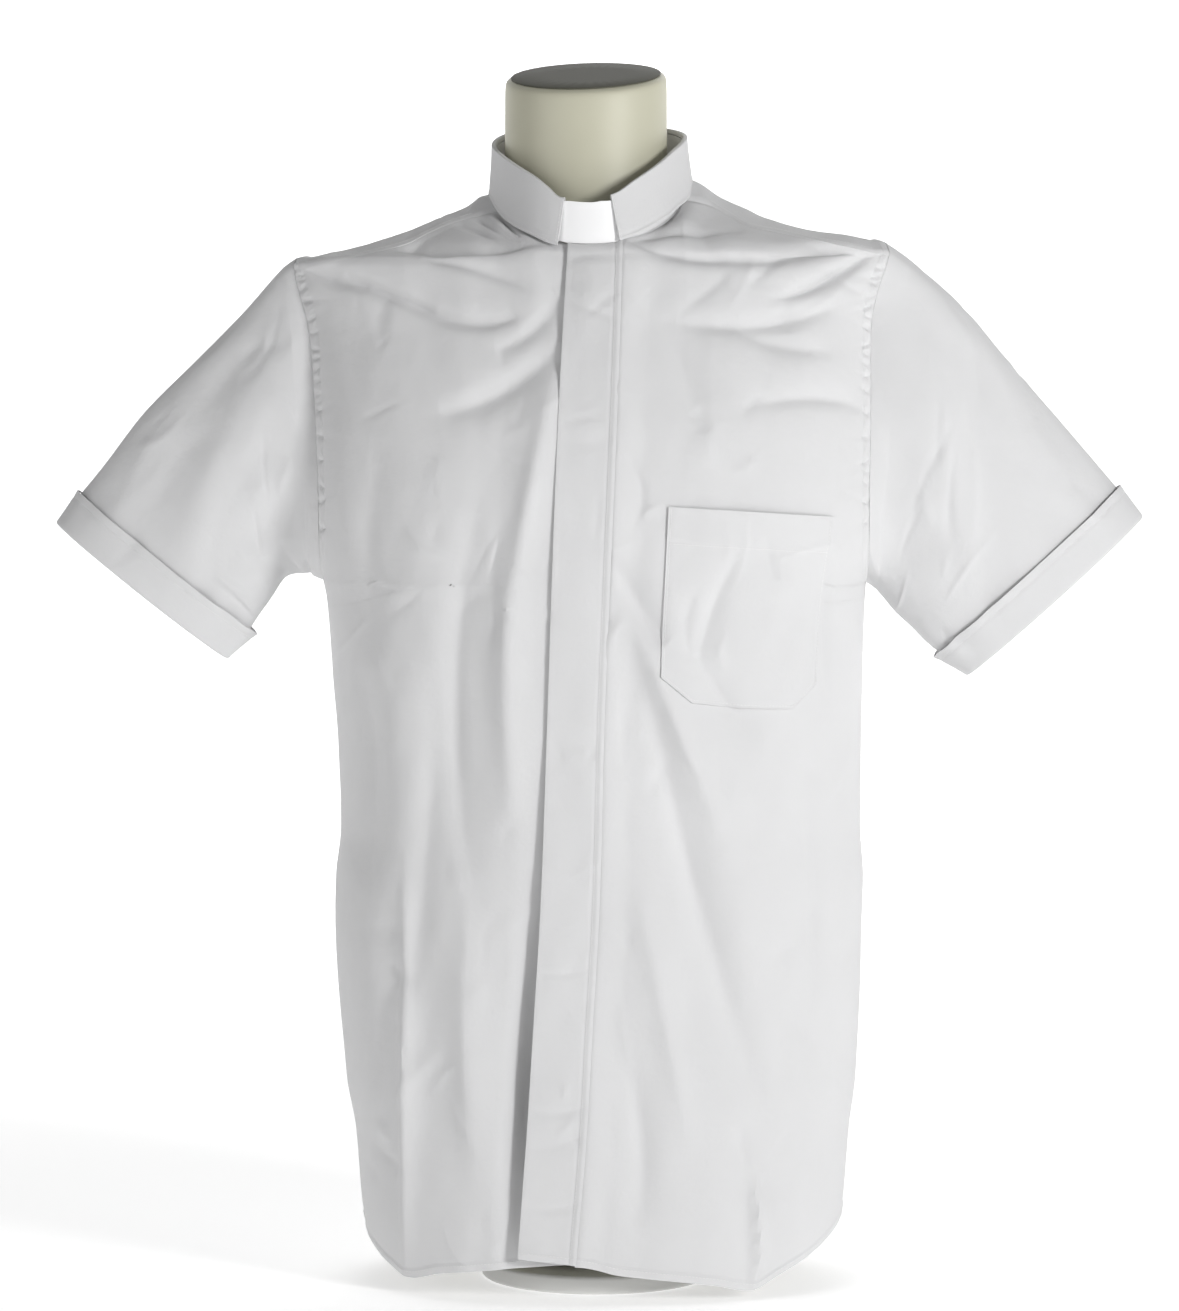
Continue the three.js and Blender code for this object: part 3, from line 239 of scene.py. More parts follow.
FRONT_HEM = table("x z",
                  (-182, 58), (-173, 35), (-160, 20), (-142, 13), (-117, 19), (-64, 25), (-15, 28),
                  (18, 21), (61, 16), (92, 12), (117, 7), (147, 21), (176, 43), (189, 58))
BACK_HEM = table("x z",
                 (-182, 58), (-168, 34), (-140, 15), (-80, 9), (0, 8), (80, 9), (146, 15),
                 (176, 34), (189, 58))
PLACKET = table("z free ridge",
                (0, -60, -17), (36, -58, -15), (114, -52.5, -8.5), (210, -46.5, -3), (304, -41, 2),
                (431, -36.5, 5.3), (550, -32.5, 10), (671, -27.5, 15), (790, -21, 19))
OPEN_FOLD = table("z sink", (0, 4), (70, 9), (150, 15), (230, 10), (340, 3), (440, 0.5), (800, 0))
NECK = {"x": -3.9, "side": 71.5, "front": 89, "back": 74}
UNDERARM = {"left": 531, "right": 529}
BACK_SEAM = 746
CLOTH = 1.6
PLY = 2.0
LAP = 0.45
SEAM_GAP = 0.35
PLACKET_RISE = PLY + LAP + CLOTH / 2
UNDERLAP = 34
SHEET = 0.8                  # the sheets are half as thick as the frame's walls
print("levels", int(TORSO["z"][0]), "to", int(TORSO["z"][-1]), "mm")

# %% [markdown]
# ## The form that the cloth takes
# Round the body, the shirt is a row of flattened ovals, one at each height. A place on it is an
# angle, zero at the middle of the front, and a height. The neckline and the seams are lines on it.

# %% The torso as ovals
def torso(angle, z):
    s, c = np.sin(angle), np.cos(angle)
    bulge = 1 + read(TORSO, "z", "square", z) * np.sin(2 * angle) ** 2
    half = np.where(s < 0, read(TORSO, "z", "left", z), read(TORSO, "z", "right", z))
    deep = np.where(c > 0, read(TORSO, "z", "front", z), read(TORSO, "z", "back", z))
    return np.stack(np.broadcast_arrays(half * s * bulge, -deep * c * bulge, z + 0 * angle), axis=-1)


def front_angle(x, z):
    """The angle at which a place lies, from its distance across."""
    x, z = np.broadcast_arrays(np.asarray(x, float), np.asarray(z, float))
    left, right = read(TORSO, "z", "left", z), read(TORSO, "z", "right", z)
    square = read(TORSO, "z", "square", z)
    quarter = np.full(x.shape, math.pi / 2)

    def across(a):
        return np.where(a < 0, left, right) * np.sin(a) * (1 + square * np.sin(2 * a) ** 2) - x
    return solve(-quarter, quarter, across)


def neck_plan(degrees, margin=0.0):
    a = np.radians(degrees)
    deep = np.where(np.cos(a) > 0, NECK["front"], NECK["back"]) + margin
    return NECK["x"] + (NECK["side"] + margin) * np.sin(a), -deep * np.cos(a)


CHEST = 700.0                # a height well below the shoulders


def shoulder_height(x, y):
    """Height of the torso over a place in plan, near the shoulders."""
    x, y = np.broadcast_arrays(np.asarray(x, float), np.asarray(y, float))

    def outside(z):
        half = np.where(x < 0, read(TORSO, "z", "left", z), read(TORSO, "z", "right", z))
        deep = np.where(y < 0, read(TORSO, "z", "front", z), read(TORSO, "z", "back", z))
        return (x / half) ** 2 + (y / deep) ** 2 - 1
    return solve(np.full(x.shape, CHEST), np.full(x.shape, TORSO["z"][-1]), outside)


def neck_height(degrees):
    return shoulder_height(*neck_plan(degrees))


def yoke_seam(x):
    return read(YOKE_SEAM, "x", "z", x)


# %% Where the seams meet
def corner_angle(sign):
    return sign * float(solve(np.array(20.0), np.array(89.0),
                              lambda a: neck_height(sign * a) - yoke_seam(neck_plan(sign * a)[0])))


CORNER = {"left": corner_angle(-1), "right": corner_angle(1)}
CORNER_X = {side: float(neck_plan(CORNER[side])[0]) for side in CORNER}
TOP_X = np.arange(-245, 246.0)
on_neck = (TOP_X > CORNER_X["left"]) & (TOP_X < CORNER_X["right"])
neck_degrees = np.degrees(np.arcsin(np.clip((TOP_X - NECK["x"]) / NECK["side"], -1, 1)))
TOP_Z = np.where(on_neck, neck_height(neck_degrees), yoke_seam(TOP_X))


def front_top(x):
    return np.interp(x, TOP_X, TOP_Z)


ARM_Z = np.arange(500, 800.0)


def armhole_table(side):
    sign = -1 if side == "left" else 1
    edge = read(ARMHOLE, "z", side, ARM_Z)
    quarter = np.full(ARM_Z.shape, math.pi / 2)
    found = solve(quarter * 0.3, quarter, lambda a: np.abs(torso(sign * a, ARM_Z)[:, 0]) - edge)
    return np.where(ARM_Z <= UNDERARM[side], math.pi / 2, found)


ARM_ANGLE = {side: armhole_table(side) for side in ("left", "right")}


def armhole_angle(side, z):
    return np.minimum(np.interp(z, ARM_Z, ARM_ANGLE[side]), math.pi / 2 - SEAM_GAP / 400)


print("neck corners", {k: round(v, 1) for k, v in CORNER.items()})

# %% [markdown]
# ## Folds
# Poplin is crisp: it breaks into long soft troughs where it hangs and short sharp creases where a
# seam holds it. Each fold is a curve through three places with a half width and a height, less
# than zero for a trough. `lean` lifts one side of it and drops the other, as a real crease does.
# They are listed one by one, the same kinds on the back as on the front, and no two are alike.

# %% Fold tables
FOLD_COLUMNS = "x0 z0 x1 z1 x2 z2 width height lean"
FRONT_FOLDS = table(FOLD_COLUMNS,
                    (-165, 783, -101, 779, -39, 781, 6, -4.2, 0.6),
                    (-79, 808, -69, 799, -57, 787, 3, -1.8, 0.4),
                    (-95, 806, -80, 796, -57, 783, 3, -2.0, 0.4),
                    (-110, 800, -87, 792, -63, 782, 3.2, -1.8, 0.5),
                    (-73, 813, -57, 797, -30, 782, 3.5, -1.6, 0.4),
                    (-219, 766, -197, 756, -170, 750, 6, -2.4, 0.5),
                    (-192, 760, -154, 745, -120, 732, 6, -3.2, 0.4),
                    (-140, 740, -98, 724, -58, 728, 7, -3.2, 0.4),
                    (-130, 772, -92, 764, -56, 750, 5.5, -2.4, 0.3),
                    (-26, 708, -73, 674, -116, 658, 12, -4.2, 0.5),
                    (-28, 744, -49, 718, -75, 705, 8, -2.4, 0.4),
                    (-31, 692, -51, 591, -62, 530, 13, 4.2, 0.3),
                    (-60, 545, -67, 479, -62, 345, 15, 4.6, 0.3),
                    (-71, 568, -76, 550, -80, 526, 3.5, -0.7, 0.6),
                    (-67, 524, -74, 506, -77, 489, 3.2, -0.7, 0.6),
                    (-90, 585, -106, 447, -94, 320, 17, -3.8, 0.2),
                    (-123, 450, -128, 335, -143, 215, 15, -2.6, 0.2),
                    (-143, 318, -142, 161, -144, 8, 7, 3.6, 0.5),
                    (-94, 302, -97, 187, -86, 84, 17, 3.0, 0.3),
                    (-176, 470, -168, 390, -172, 300, 12, -2.2, 0.2),
                    (-160, 640, -170, 560, -165, 470, 16, -2.0, 0.2),
                    (30, 785, 70, 791, 114, 794, 4, -2.4, 0.5),
                    (22, 783, 70, 772, 124, 774, 7, -3.0, 0.5),
                    (100, 768, 165, 778, 206, 788, 8, -4.2, 0.4),
                    (135, 742, 175, 756, 208, 780, 6, -4.6, 0.5),
                    (58, 724, 120, 722, 178, 736, 9, -3.0, 0.4),
                    (104, 718, 135, 707, 174, 702, 9, -2.0, 0.3),
                    (112, 662, 160, 668, 197, 660, 8, -1.9, 0.4),
                    (30, 740, 60, 700, 70, 650, 16, -2.0, 0.2),
                    (9, 556, 27, 519, 49, 488, 13, -4.4, 0.3),
                    (17, 528, 50, 447, 92, 346, 14, 4.0, 0.3),
                    (37, 452, 74, 299, 122, 146, 16, -4.2, 0.3),
                    (101, 552, 84, 513, 74, 474, 9, -2.2, 0.3),
                    (73, 482, 92, 447, 122, 414, 9, -2.2, 0.3),
                    (101, 130, 114, 100, 126, 66, 8, -2.4, 0.4),
                    (113, 110, 118, 50, 115, 3, 6, 3.6, 0.5),
                    (150, 404, 161, 295, 156, 155, 15, -2.6, 0.2),
                    (30, 304, 46, 226, 70, 110, 14, 2.6, 0.3),
                    (20, 190, 32, 120, 30, 60, 12, -2.2, 0.3),
                    (174, 560, 168, 500, 176, 430, 10, -2.0, 0.2))
FLY_FOLDS = table(FOLD_COLUMNS,
                  (-24, 765, -5, 771, 19, 768, 3.5, -1.0, 0.5),
                  (-24, 741, -5, 731, 17, 724, 4, -1.1, 0.5),
                  (-30, 640, -10, 634, 12, 640, 7, -0.8, 0.2),
                  (-38, 420, -18, 414, 5, 421, 8, -0.8, 0.2),
                  (-45, 249, -27, 245, -3, 250, 3, -1.1, 0.6),
                  (-51, 147, -30, 141, -6, 149, 3.5, -1.4, 0.6),
                  (-50, 120, -32, 118, -10, 126, 6, -1.0, 0.3),
                  (-55, 78, -35, 70, -10, 77, 4, -1.2, 0.5))
BACK_FOLDS = table(FOLD_COLUMNS,
                   (-150, 712, -92, 560, -72, 372, 17, -4.6, 0.3),
                   (150, 716, 102, 560, 86, 352, 17, -4.4, 0.3),
                   (-30, 650, -36, 400, -44, 116, 19, 3.8, 0.2),
                   (44, 570, 50, 360, 66, 84, 18, -4.0, 0.3),
                   (-126, 410, -134, 240, -140, 16, 14, -4.2, 0.3),
                   (128, 420, 138, 260, 130, 60, 13, 3.4, 0.3),
                   (-12, 724, -8, 690, -14, 640, 9, -2.4, 0.3),
                   (18, 728, 24, 686, 20, 650, 8, -2.2, 0.3),
                   (-196, 690, -150, 668, -96, 660, 8, -3.2, 0.5),
                   (196, 686, 160, 662, 112, 652, 8, -3.0, 0.5),
                   (-190, 610, -150, 588, -110, 590, 9, -2.6, 0.4),
                   (188, 600, 152, 580, 118, 584, 9, -2.6, 0.4),
                   (-80, 300, -60, 200, -66, 90, 14, -3.2, 0.3),
                   (0, 300, 8, 180, -4, 60, 15, 3.0, 0.3),
                   (-172, 500, -160, 430, -168, 330, 10, -2.4, 0.3),
                   (170, 480, 160, 400, 166, 300, 10, -2.4, 0.3))

# %% Small creases, scattered
def small_folds(seed, count, left, right, low, high, size=1.0):
    """Short shallow creases, most of them upright or slanting, from a seeded draw."""
    draw = np.random.default_rng(seed)
    x, z = draw.uniform(left, right, count), draw.uniform(low, high, count)
    turn = draw.normal(math.pi / 2, 0.75, count)
    half = draw.uniform(8, 34, count) * size
    bow = draw.normal(0, 0.18, count) * half
    width = draw.uniform(2.6, 7.5, count) * size
    height = draw.choice([-1, -1, 1], count) * draw.uniform(0.14, 0.32, count) * width
    dx, dz = np.cos(turn) * half, np.sin(turn) * half
    return {"x0": x - dx, "z0": z - dz, "x1": x + dz / half * bow, "z1": z - dx / half * bow,
            "x2": x + dx, "z2": z + dz, "width": width, "height": height,
            "lean": draw.uniform(0, 0.6, count)}


def joined(*tables):
    return {name: np.concatenate([tab[name] for tab in tables]) for name in tables[0]}


FOLD_GAIN = 1.9
for tab in (FRONT_FOLDS, BACK_FOLDS):
    tab["height"] = tab["height"] * FOLD_GAIN
FOLDS = {"under": joined(FRONT_FOLDS, small_folds(21, 46, -190, -20, 30, 790)),
         "over": joined(FRONT_FOLDS, small_folds(22, 46, 5, 190, 30, 790)),
         "fly": joined(FLY_FOLDS, small_folds(23, 26, -50, 15, 40, 780, 0.6)),
         "back": joined(BACK_FOLDS, small_folds(24, 80, -190, 190, 30, 730))}
SLEEVE_CREASES = {"left": small_folds(25, 44, 0, 420, 20, 250, 0.9),
                  "right": small_folds(26, 44, 0, 420, 20, 250, 0.9)}
YOKE_CREASES = small_folds(27, 44, -200, 200, -90, 90, 0.8)


def crease(d):
    """Height across a fold, from its middle: crisp in the middle and soft at its sides."""
    return np.exp(-1.8 * (np.sqrt(d * d + 0.12) - 0.35))


def fold_height(folds, x, z, samples=13):
    total = np.zeros(np.broadcast(x, z).shape)
    for k in range(len(folds["x0"])):
        f = {name: column[k] for name, column in folds.items()}
        near = np.full(total.shape, 1e9)
        side, along = np.zeros(total.shape), np.zeros(total.shape)
        bend = (2 * f["x1"] - (f["x0"] + f["x2"]) / 2, 2 * f["z1"] - (f["z0"] + f["z2"]) / 2)
        for t in np.linspace(0, 1, samples):
            u = 1 - t
            fx = u * u * f["x0"] + 2 * u * t * bend[0] + t * t * f["x2"]
            fz = u * u * f["z0"] + 2 * u * t * bend[1] + t * t * f["z2"]
            tx = u * (bend[0] - f["x0"]) + t * (f["x2"] - bend[0])
            tz = u * (bend[1] - f["z0"]) + t * (f["z2"] - bend[1])
            size = math.hypot(tx, tz)
            dx, dz = x - fx, z - fz
            beyond = (dx * tx + dz * tz) / size
            reach = np.clip(beyond, -size / samples, size / samples)
            cross = (tx * dz - tz * dx) / size
            distance = np.hypot(beyond - reach, cross)
            closer = distance < near
            near = np.where(closer, distance, near)
            side = np.where(closer, cross, side)
            along = np.where(closer, t + reach / size / 2, along)
        d = near / f["width"]
        taper = 0.12 + 0.88 * np.sin(math.pi * np.clip(along, 0, 1)) ** 0.8
        lean = f["lean"] * np.clip(side / f["width"], -2, 2)
        total += f["height"] * taper * (1 + lean) * crease(d)
    return total


# %% Small unevenness
RIPPLES = np.random.default_rng(11).uniform(size=(14, 4))


def ripple(u, v, height=0.8, longest=90.0):
    """Soft unevenness of a hanging sheet, from waves of mixed lengths and directions."""
    total = np.zeros(np.broadcast(u, v).shape)
    for a, b, c, d in RIPPLES:
        length = longest * (0.25 + 0.75 * a)
        turn = math.pi * (0.5 + 0.5 * (b - 0.5))
        phase = 2 * math.pi * (u * math.sin(turn) + v * math.cos(turn) * 0.45) / length
        total += height * (0.3 + a) * np.sin(phase + 6.3 * c + 1.4 * np.sin(phase * 0.37 + 6.3 * d)) / 4
    return total


# %% [markdown]
# ## From a grid of points to a sheet of cloth
# A sheet is a grid of quads with a UV map in metres of real cloth, so that the weave has the same
# size on every piece and turns with it. Solidify then gives the single layer its thickness and
# closes its edges, as the last step, so that the two faces stay exactly parallel.

# %% Make a sheet
GRIDS = {}                   # the outer points of each sheet, for the sewing


def sheet(name, points, finish, wrap=False, thickness=SHEET, flip=False, weave_turn=False):
    """A closed thin sheet through a grid of outer points, in millimetres."""
    rows, cols = points.shape[:2]
    spans = cols if wrap else cols - 1
    i, j = np.meshgrid(np.arange(rows - 1), np.arange(spans), indexing="ij")
    a, b = (i * cols + j).ravel(), (i * cols + (j + 1) % cols).ravel()
    quads = np.stack([a, b, b + cols, a + cols], axis=1)
    if flip:
        quads = quads[:, ::-1]
    GRIDS[name] = points
    mesh = bpy.data.meshes.new(name)
    mesh.from_pydata((points.reshape(-1, 3) * MM).tolist(), [], quads.tolist())
    closed = np.concatenate([points, points[:, :1]], axis=1)
    across = np.cumsum(np.linalg.norm(np.diff(closed, axis=1), axis=2), axis=1)
    across = np.concatenate([np.zeros((rows, 1)), across], axis=1)
    upward = np.cumsum(np.linalg.norm(np.diff(points, axis=0), axis=2), axis=0)
    upward = np.concatenate([np.zeros((1, cols)), upward], axis=0)
    upward = np.concatenate([upward, upward[:, :1]], axis=1)
    places = np.stack([np.stack([i, j], -1), np.stack([i, j + 1], -1),
                       np.stack([i + 1, j + 1], -1), np.stack([i + 1, j], -1)], axis=2).reshape(-1, 4, 2)
    if flip:
        places = places[:, ::-1]
    places = places.reshape(-1, 2)
    uv = np.stack([across[places[:, 0], places[:, 1]], upward[places[:, 0], places[:, 1]]], axis=1) * MM
    layer = mesh.uv_layers.new(name="cloth")
    layer.data.foreach_set("uv", (uv[:, ::-1] if weave_turn else uv).astype(np.float32).ravel())
    mesh.materials.append(finish)
    made = bpy.data.objects.new(name, mesh)
    bpy.context.scene.collection.objects.link(made)
    deselect()
    bpy.context.view_layer.objects.active = made
    made.select_set(True)
    wall = made.modifiers.new("wall", "SOLIDIFY")
    wall.thickness = thickness * MM
    wall.offset = -1
    bpy.ops.object.modifier_apply(modifier="wall")
    bpy.ops.object.shade_smooth_by_angle(angle=math.radians(50))
    print(name, len(made.data.polygons), "faces")
    return made


# %% [markdown]
# ## Cotton poplin
# Poplin is a plain weave of fine yarns, so close that it looks smooth: a slight rib runs across.
# The yarns are two crossed sines on the UV map, used as bump only. Larger, fainter unevenness in
# colour and surface comes from noise. The cloth is matt, with a little sheen at grazing angles.

# %% Noise, bumps and a mottled colour
def noise(nodes, links, scale, detail=2.0, roughness=0.5):
    """Noise on the object's own coordinates."""
    place, made = nodes.new("ShaderNodeTexCoord"), nodes.new("ShaderNodeTexNoise")
    for socket, value in (("Scale", scale), ("Detail", detail), ("Roughness", roughness)):
        made.inputs[socket].default_value = value
    links.new(place.outputs["Object"], made.inputs["Vector"])
    return made.outputs["Fac"]


def bump(nodes, links, height, distance, strength=1.0):
    made = nodes.new("ShaderNodeBump")
    made.inputs["Distance"].default_value = distance
    made.inputs["Strength"].default_value = strength
    links.new(height, made.inputs["Height"])
    return made


def mottle(nodes, links, shader, colour, cloud, darker, lighter):
    """The colour, a little darker and lighter from place to place."""
    shade = nodes.new("ShaderNodeMix")
    shade.data_type = "RGBA"
    shade.inputs["A"].default_value = (*[c * darker for c in colour], 1)
    shade.inputs["B"].default_value = (*[min(1, c * lighter) for c in colour], 1)
    links.new(cloud, shade.inputs["Factor"])
    links.new(shade.outputs["Result"], shader.inputs["Base Color"])


# %% The cotton's material
YARN_PITCH = {"X": 0.00055, "Y": 0.0007}     # metres from yarn to yarn, each way


def cotton(name, colour):
    made, nodes, links, shader = material(name, colour, 0.88, Sheen_Weight=0.18, Sheen_Roughness=0.5)
    shader.inputs["Specular IOR Level"].default_value = 0.25
    uv = nodes.new("ShaderNodeUVMap")
    uv.uv_map = "cloth"
    split = nodes.new("ShaderNodeSeparateXYZ")
    links.new(uv.outputs["UV"], split.inputs[0])
    yarns = []
    for axis, pitch in YARN_PITCH.items():
        wave = nodes.new("ShaderNodeMath")
        wave.operation = "MULTIPLY"
        wave.inputs[1].default_value = 2 * math.pi / pitch
        links.new(split.outputs[axis], wave.inputs[0])
        sine = nodes.new("ShaderNodeMath")
        sine.operation = "SINE"
        links.new(wave.outputs[0], sine.inputs[0])
        yarns.append(sine)
    weave = nodes.new("ShaderNodeMath")
    weave.operation = "MULTIPLY"
    links.new(yarns[0].outputs[0], weave.inputs[0])
    links.new(yarns[1].outputs[0], weave.inputs[1])
    yarn_bump = bump(nodes, links, weave.outputs[0], 0.00008, 0.5)
    cloth_bump = bump(nodes, links, noise(nodes, links, 34, 7, 0.6), 0.0022, 0.5)
    links.new(yarn_bump.outputs["Normal"], cloth_bump.inputs["Normal"])
    links.new(cloth_bump.outputs["Normal"], shader.inputs["Normal"])
    mottle(nodes, links, shader, colour, noise(nodes, links, 9, 3), 0.965, 1.02)
    return made


poplin = cotton("white_poplin", (0.71, 0.71, 0.715))

# %% [markdown]
# ## The two fronts
# Each front runs from its edge at the middle to the side seam and the armhole, and from the hem to
# the neckline and the yoke. The wearer's left front carries the fly and laps over the right one,
# which runs on under it and sinks away from it low down, where the shirt opens a little.
# A flat-felled seam raises the edge of the armhole, and its stitching draws the cloth into puckers.

# %% How a layer lies on the form
ARM_PUCKERS = {                                    # heights of the small creases at each armhole
    "left": [767, 761, 757, 748, 741, 726, 716, 705, 697, 688,
             680, 671, 664, 658, 641, 622, 604, 590, 571],
    "right": [765, 759, 753, 745, 738, 728, 719, 709, 700, 692,
              684, 672, 655, 640, 622, 612, 604, 590, 577]}
FELL = 8.0                   # width of a flat-felled seam
HEM = 6.5                    # width of the rolled hem


def band(distance, width, height, edge=1.4):
    """A raised strip along an edge, with soft shoulders."""
    return height * ease((width - distance) / edge + 0.5) * ease(distance / edge + 0.6)


BLEND = 22.0                 # width over which one layer comes down to the next


def layer_rise(layer, x, z):
    """How far a layer of the front lies out from the form, or sinks in."""
    free, ridge = read(PLACKET, "z", "free", z), read(PLACKET, "z", "ridge", z)
    if layer == "under":
        return -read(OPEN_FOLD, "z", "sink", z) * ease((x - free + BLEND) / BLEND)
    if layer == "fly":
        return PLACKET_RISE + 0 * x
    if layer == "over":
        return PLACKET_RISE * (1 - ease((x - ridge) / BLEND))
    return 0 * x


def cloth(layer, angle, z, lift=0.0):
    """Outside of the cloth: the torso with its folds, moved out by its layer and any lift."""
    p = torso(angle, z)
    around = torso(angle + 0.01, z) - torso(angle - 0.01, z)
    upward = torso(angle, z + 2) - torso(angle, z - 2)
    out = unit(np.cross(around, upward))
    x = p[..., 0]
    back = layer == "back"
    turned = math.pi - angle if back else angle
    side = ease((math.pi / 2 - np.abs(turned)) / 0.3)
    fade = ease((BACK_SEAM - z) / 8) if back else ease((front_top(x) - z) / 4)
    folds = fold_height(FOLDS[layer], x, z) * side + ripple(x, z)
    if not back:
        folds = folds + collar_base(p)
    rise = folds * fade + layer_rise(layer, x, z)
    return p + out * (rise + lift)[..., None]


COLLAR_BASE = {"height": 2.8, "at": 11.0, "width": 9.0}


def collar_base(p):
    """The cloth is pushed up in an uneven roll where the collar's edge rests on it."""
    deep = np.where(p[..., 1] < 0, NECK["front"], NECK["back"])
    x, y = (p[..., 0] - NECK["x"]) / NECK["side"], p[..., 1] / deep
    beyond = (np.hypot(x, y) - 1) * NECK["side"] - COLLAR_BASE["at"]
    turn = np.arctan2(x, -y)
    uneven = 0.8 + 0.25 * np.sin(7 * turn + 0.6) + 0.2 * np.sin(13 * turn + 2.2)
    return COLLAR_BASE["height"] * uneven * np.exp(-(beyond / COLLAR_BASE["width"]) ** 2)


def puckers(side, z, distance):
    """Short level creases across the seam, which run out softly into the panel."""
    total = np.zeros(np.shape(z))
    draw = np.random.default_rng(5 if side == "left" else 6)
    for level in ARM_PUCKERS[side]:
        tilt, depth, run = draw.uniform(-0.3, 0.5), draw.uniform(0.8, 1.5), draw.uniform(3, 14)
        off = z - level - tilt * distance
        total -= 1.1 * depth * np.exp(-(off / 1.6) ** 2) * ease((FELL + 1.5 - distance) / 1.5)
        total -= 1.1 * depth * np.exp(-(off / 3.0) ** 2) * np.exp(-distance / run)
    return total * ease(distance / 3.0)


def fell(distance):
    """A flat-felled seam: a raised band with its line of stitches sunk in."""
    return band(distance, FELL, 1.2) - 0.7 * np.exp(-((distance - FELL + 1.6) / 0.8) ** 2)


# %% Cut and place the fronts
TUCK = 3.0                   # how far an edge runs on beneath the piece it is sewn to
TUCK_DEPTH = 1.5


def shares(*stretches):
    """Fractions from 0 to 1, given as (where a stretch ends, how many steps it has)."""
    start, found = 0.0, [0.0]
    for end, count in stretches:
        found += list(np.linspace(start, end, count + 1)[1:])
        start = end
    return np.array(found)


FRONT_ROWS = shares((0.012, 8), (0.6, 112), (0.9, 120), (1.0, 96))
STRAIGHTEN = 190.0           # height over which the columns swing to their places on the yoke
HEM_LEVEL = 30.0             # about where the hems are
NECK_LEVEL = 815.0           # about where the fronts end at the neck
ARM_TOP = (700.0, 775.0)     # between these heights the armhole meets the yoke


def front_cloth(side):
    sign = -1 if side == "left" else 1
    layer = "under" if side == "left" else "over"

    def start(z):
        if side == "left":
            return read(PLACKET, "z", "free", z) + UNDERLAP
        return read(PLACKET, "z", "ridge", z) + SEAM_GAP

    def over_seam(z):
        return z - front_top(sign * read(ARMHOLE, "z", side, z))

    first_x = float(start(NECK_LEVEL))
    last_z = float(solve(np.array(ARM_TOP[0]), np.array(ARM_TOP[1]), over_seam))
    last_x = sign * float(read(ARMHOLE, "z", side, last_z))
    # the columns lie closer up to the neckline's corner, where the top edge is steep
    corner = (CORNER_X[side] - first_x) / (last_x - first_x)
    a = shares((corner - 0.07, 22), (corner, 22), (0.9, 58), (1.0, 24))

    def place(z):
        first = front_angle(start(z), z)
        return torso(mix(first, sign * armhole_angle(side, np.minimum(z, 764.0)), a), z)[..., 0]

    low = read(FRONT_HEM, "x", "z", place(np.full(a.shape, HEM_LEVEL)))
    high = front_top(mix(first_x, last_x, a)) - SEAM_GAP
    t = FRONT_ROWS[:, None]
    z = mix(low, high, t)
    swing = ease((z - high + STRAIGHTEN) / STRAIGHTEN)
    x = mix(place(z), mix(start(z), last_x, a), swing)
    edge = sign * armhole_angle(side, np.minimum(z, last_z))
    angle = front_angle(x, z)
    angle = np.where(a >= 1, edge, angle)
    reach = np.linalg.norm(torso(angle, z) - torso(edge, z), axis=-1)
    arm = ease((z - UNDERARM[side]) / 8)
    lift = band(z - low, HEM, 0.7) + arm * (fell(reach) + puckers(side, z, reach))
    lift += (1 - arm) * band(reach, 2.5, 0.5)
    points = cloth(layer, angle, z, lift)
    hidden = points[-1] + np.stack([0 * a, 0.5 * TUCK + 0 * a, 0.6 * TUCK + 0 * a], axis=-1)
    hidden[:, 1] += TUCK_DEPTH
    whole = np.concatenate([points, [points[-1] + [0, TUCK_DEPTH, -0.4], hidden]])
    if side == "right":
        first = whole[:, :1]
        whole = np.concatenate([first + [-1.4, 0.9, 0], first + [0, 0.3, 0], whole[:, 1:]], axis=1)
    return points, whole


front_points, front_sheets = {}, {}
for side in ("left", "right"):
    front_points[side], front_sheets[side] = front_cloth(side)
right_front = sheet("right_front_cloth", front_sheets["left"], poplin, flip=True)
left_front = sheet("left_front_cloth", front_sheets["right"], poplin)

# %% [markdown]
# ## The fly placket
# The buttons close under this strip, so from outside it is plain. It has a free edge on one side
# and is stitched to the left front along the other, where the layers make a narrow raised ridge.

# %% Lay the fly over the fronts
FLY_GRID = {"rows": 300, "cols": 26}
FLY_HEM = (34.0, 29.0)       # heights of the fly's hem at its free edge and at the ridge
FLY_WIDTH = 40.0
SHOULDER_RANGE = (690.0, 830.0)


def fly_cloth():
    a = np.linspace(0, 1, FLY_GRID["cols"])

    def angle_at(z):
        return front_angle(mix(read(PLACKET, "z", "free", z), read(PLACKET, "z", "ridge", z), a), z)
    low = mix(*FLY_HEM, a)
    high = solve(*(np.full(a.shape, level) for level in SHOULDER_RANGE),
                 lambda z: z - front_top(torso(angle_at(z), z)[:, 0])) - SEAM_GAP
    z = mix(low, high, np.linspace(0, 1, FLY_GRID["rows"])[:, None])
    angle = angle_at(z)
    across = a * FLY_WIDTH
    to_ridge = across - FLY_WIDTH
    lift = 0.7 * np.exp(-((to_ridge + 2.2) / 1.3) ** 2) - 0.5 * np.exp(-(to_ridge + 5) ** 2)
    lift = lift + 0.35 * ease(1 - across / 2.5) - 0.5 * ease(1 - across / 0.9)
    return cloth("fly", angle, z, lift + band(z - low, HEM, 0.5))


fly_points = fly_cloth()
fly = sheet("fly_cloth", fly_points, poplin, thickness=1.2)

# %% [markdown]
# ## The chest pocket
# A patch pocket is a folded square laid on the front and stitched round three sides. Its points
# are the front's own, moved out, so it follows every fold beneath it. The lower corners are cut
# off, and the mouth stands open by a hair with its hem turned in.

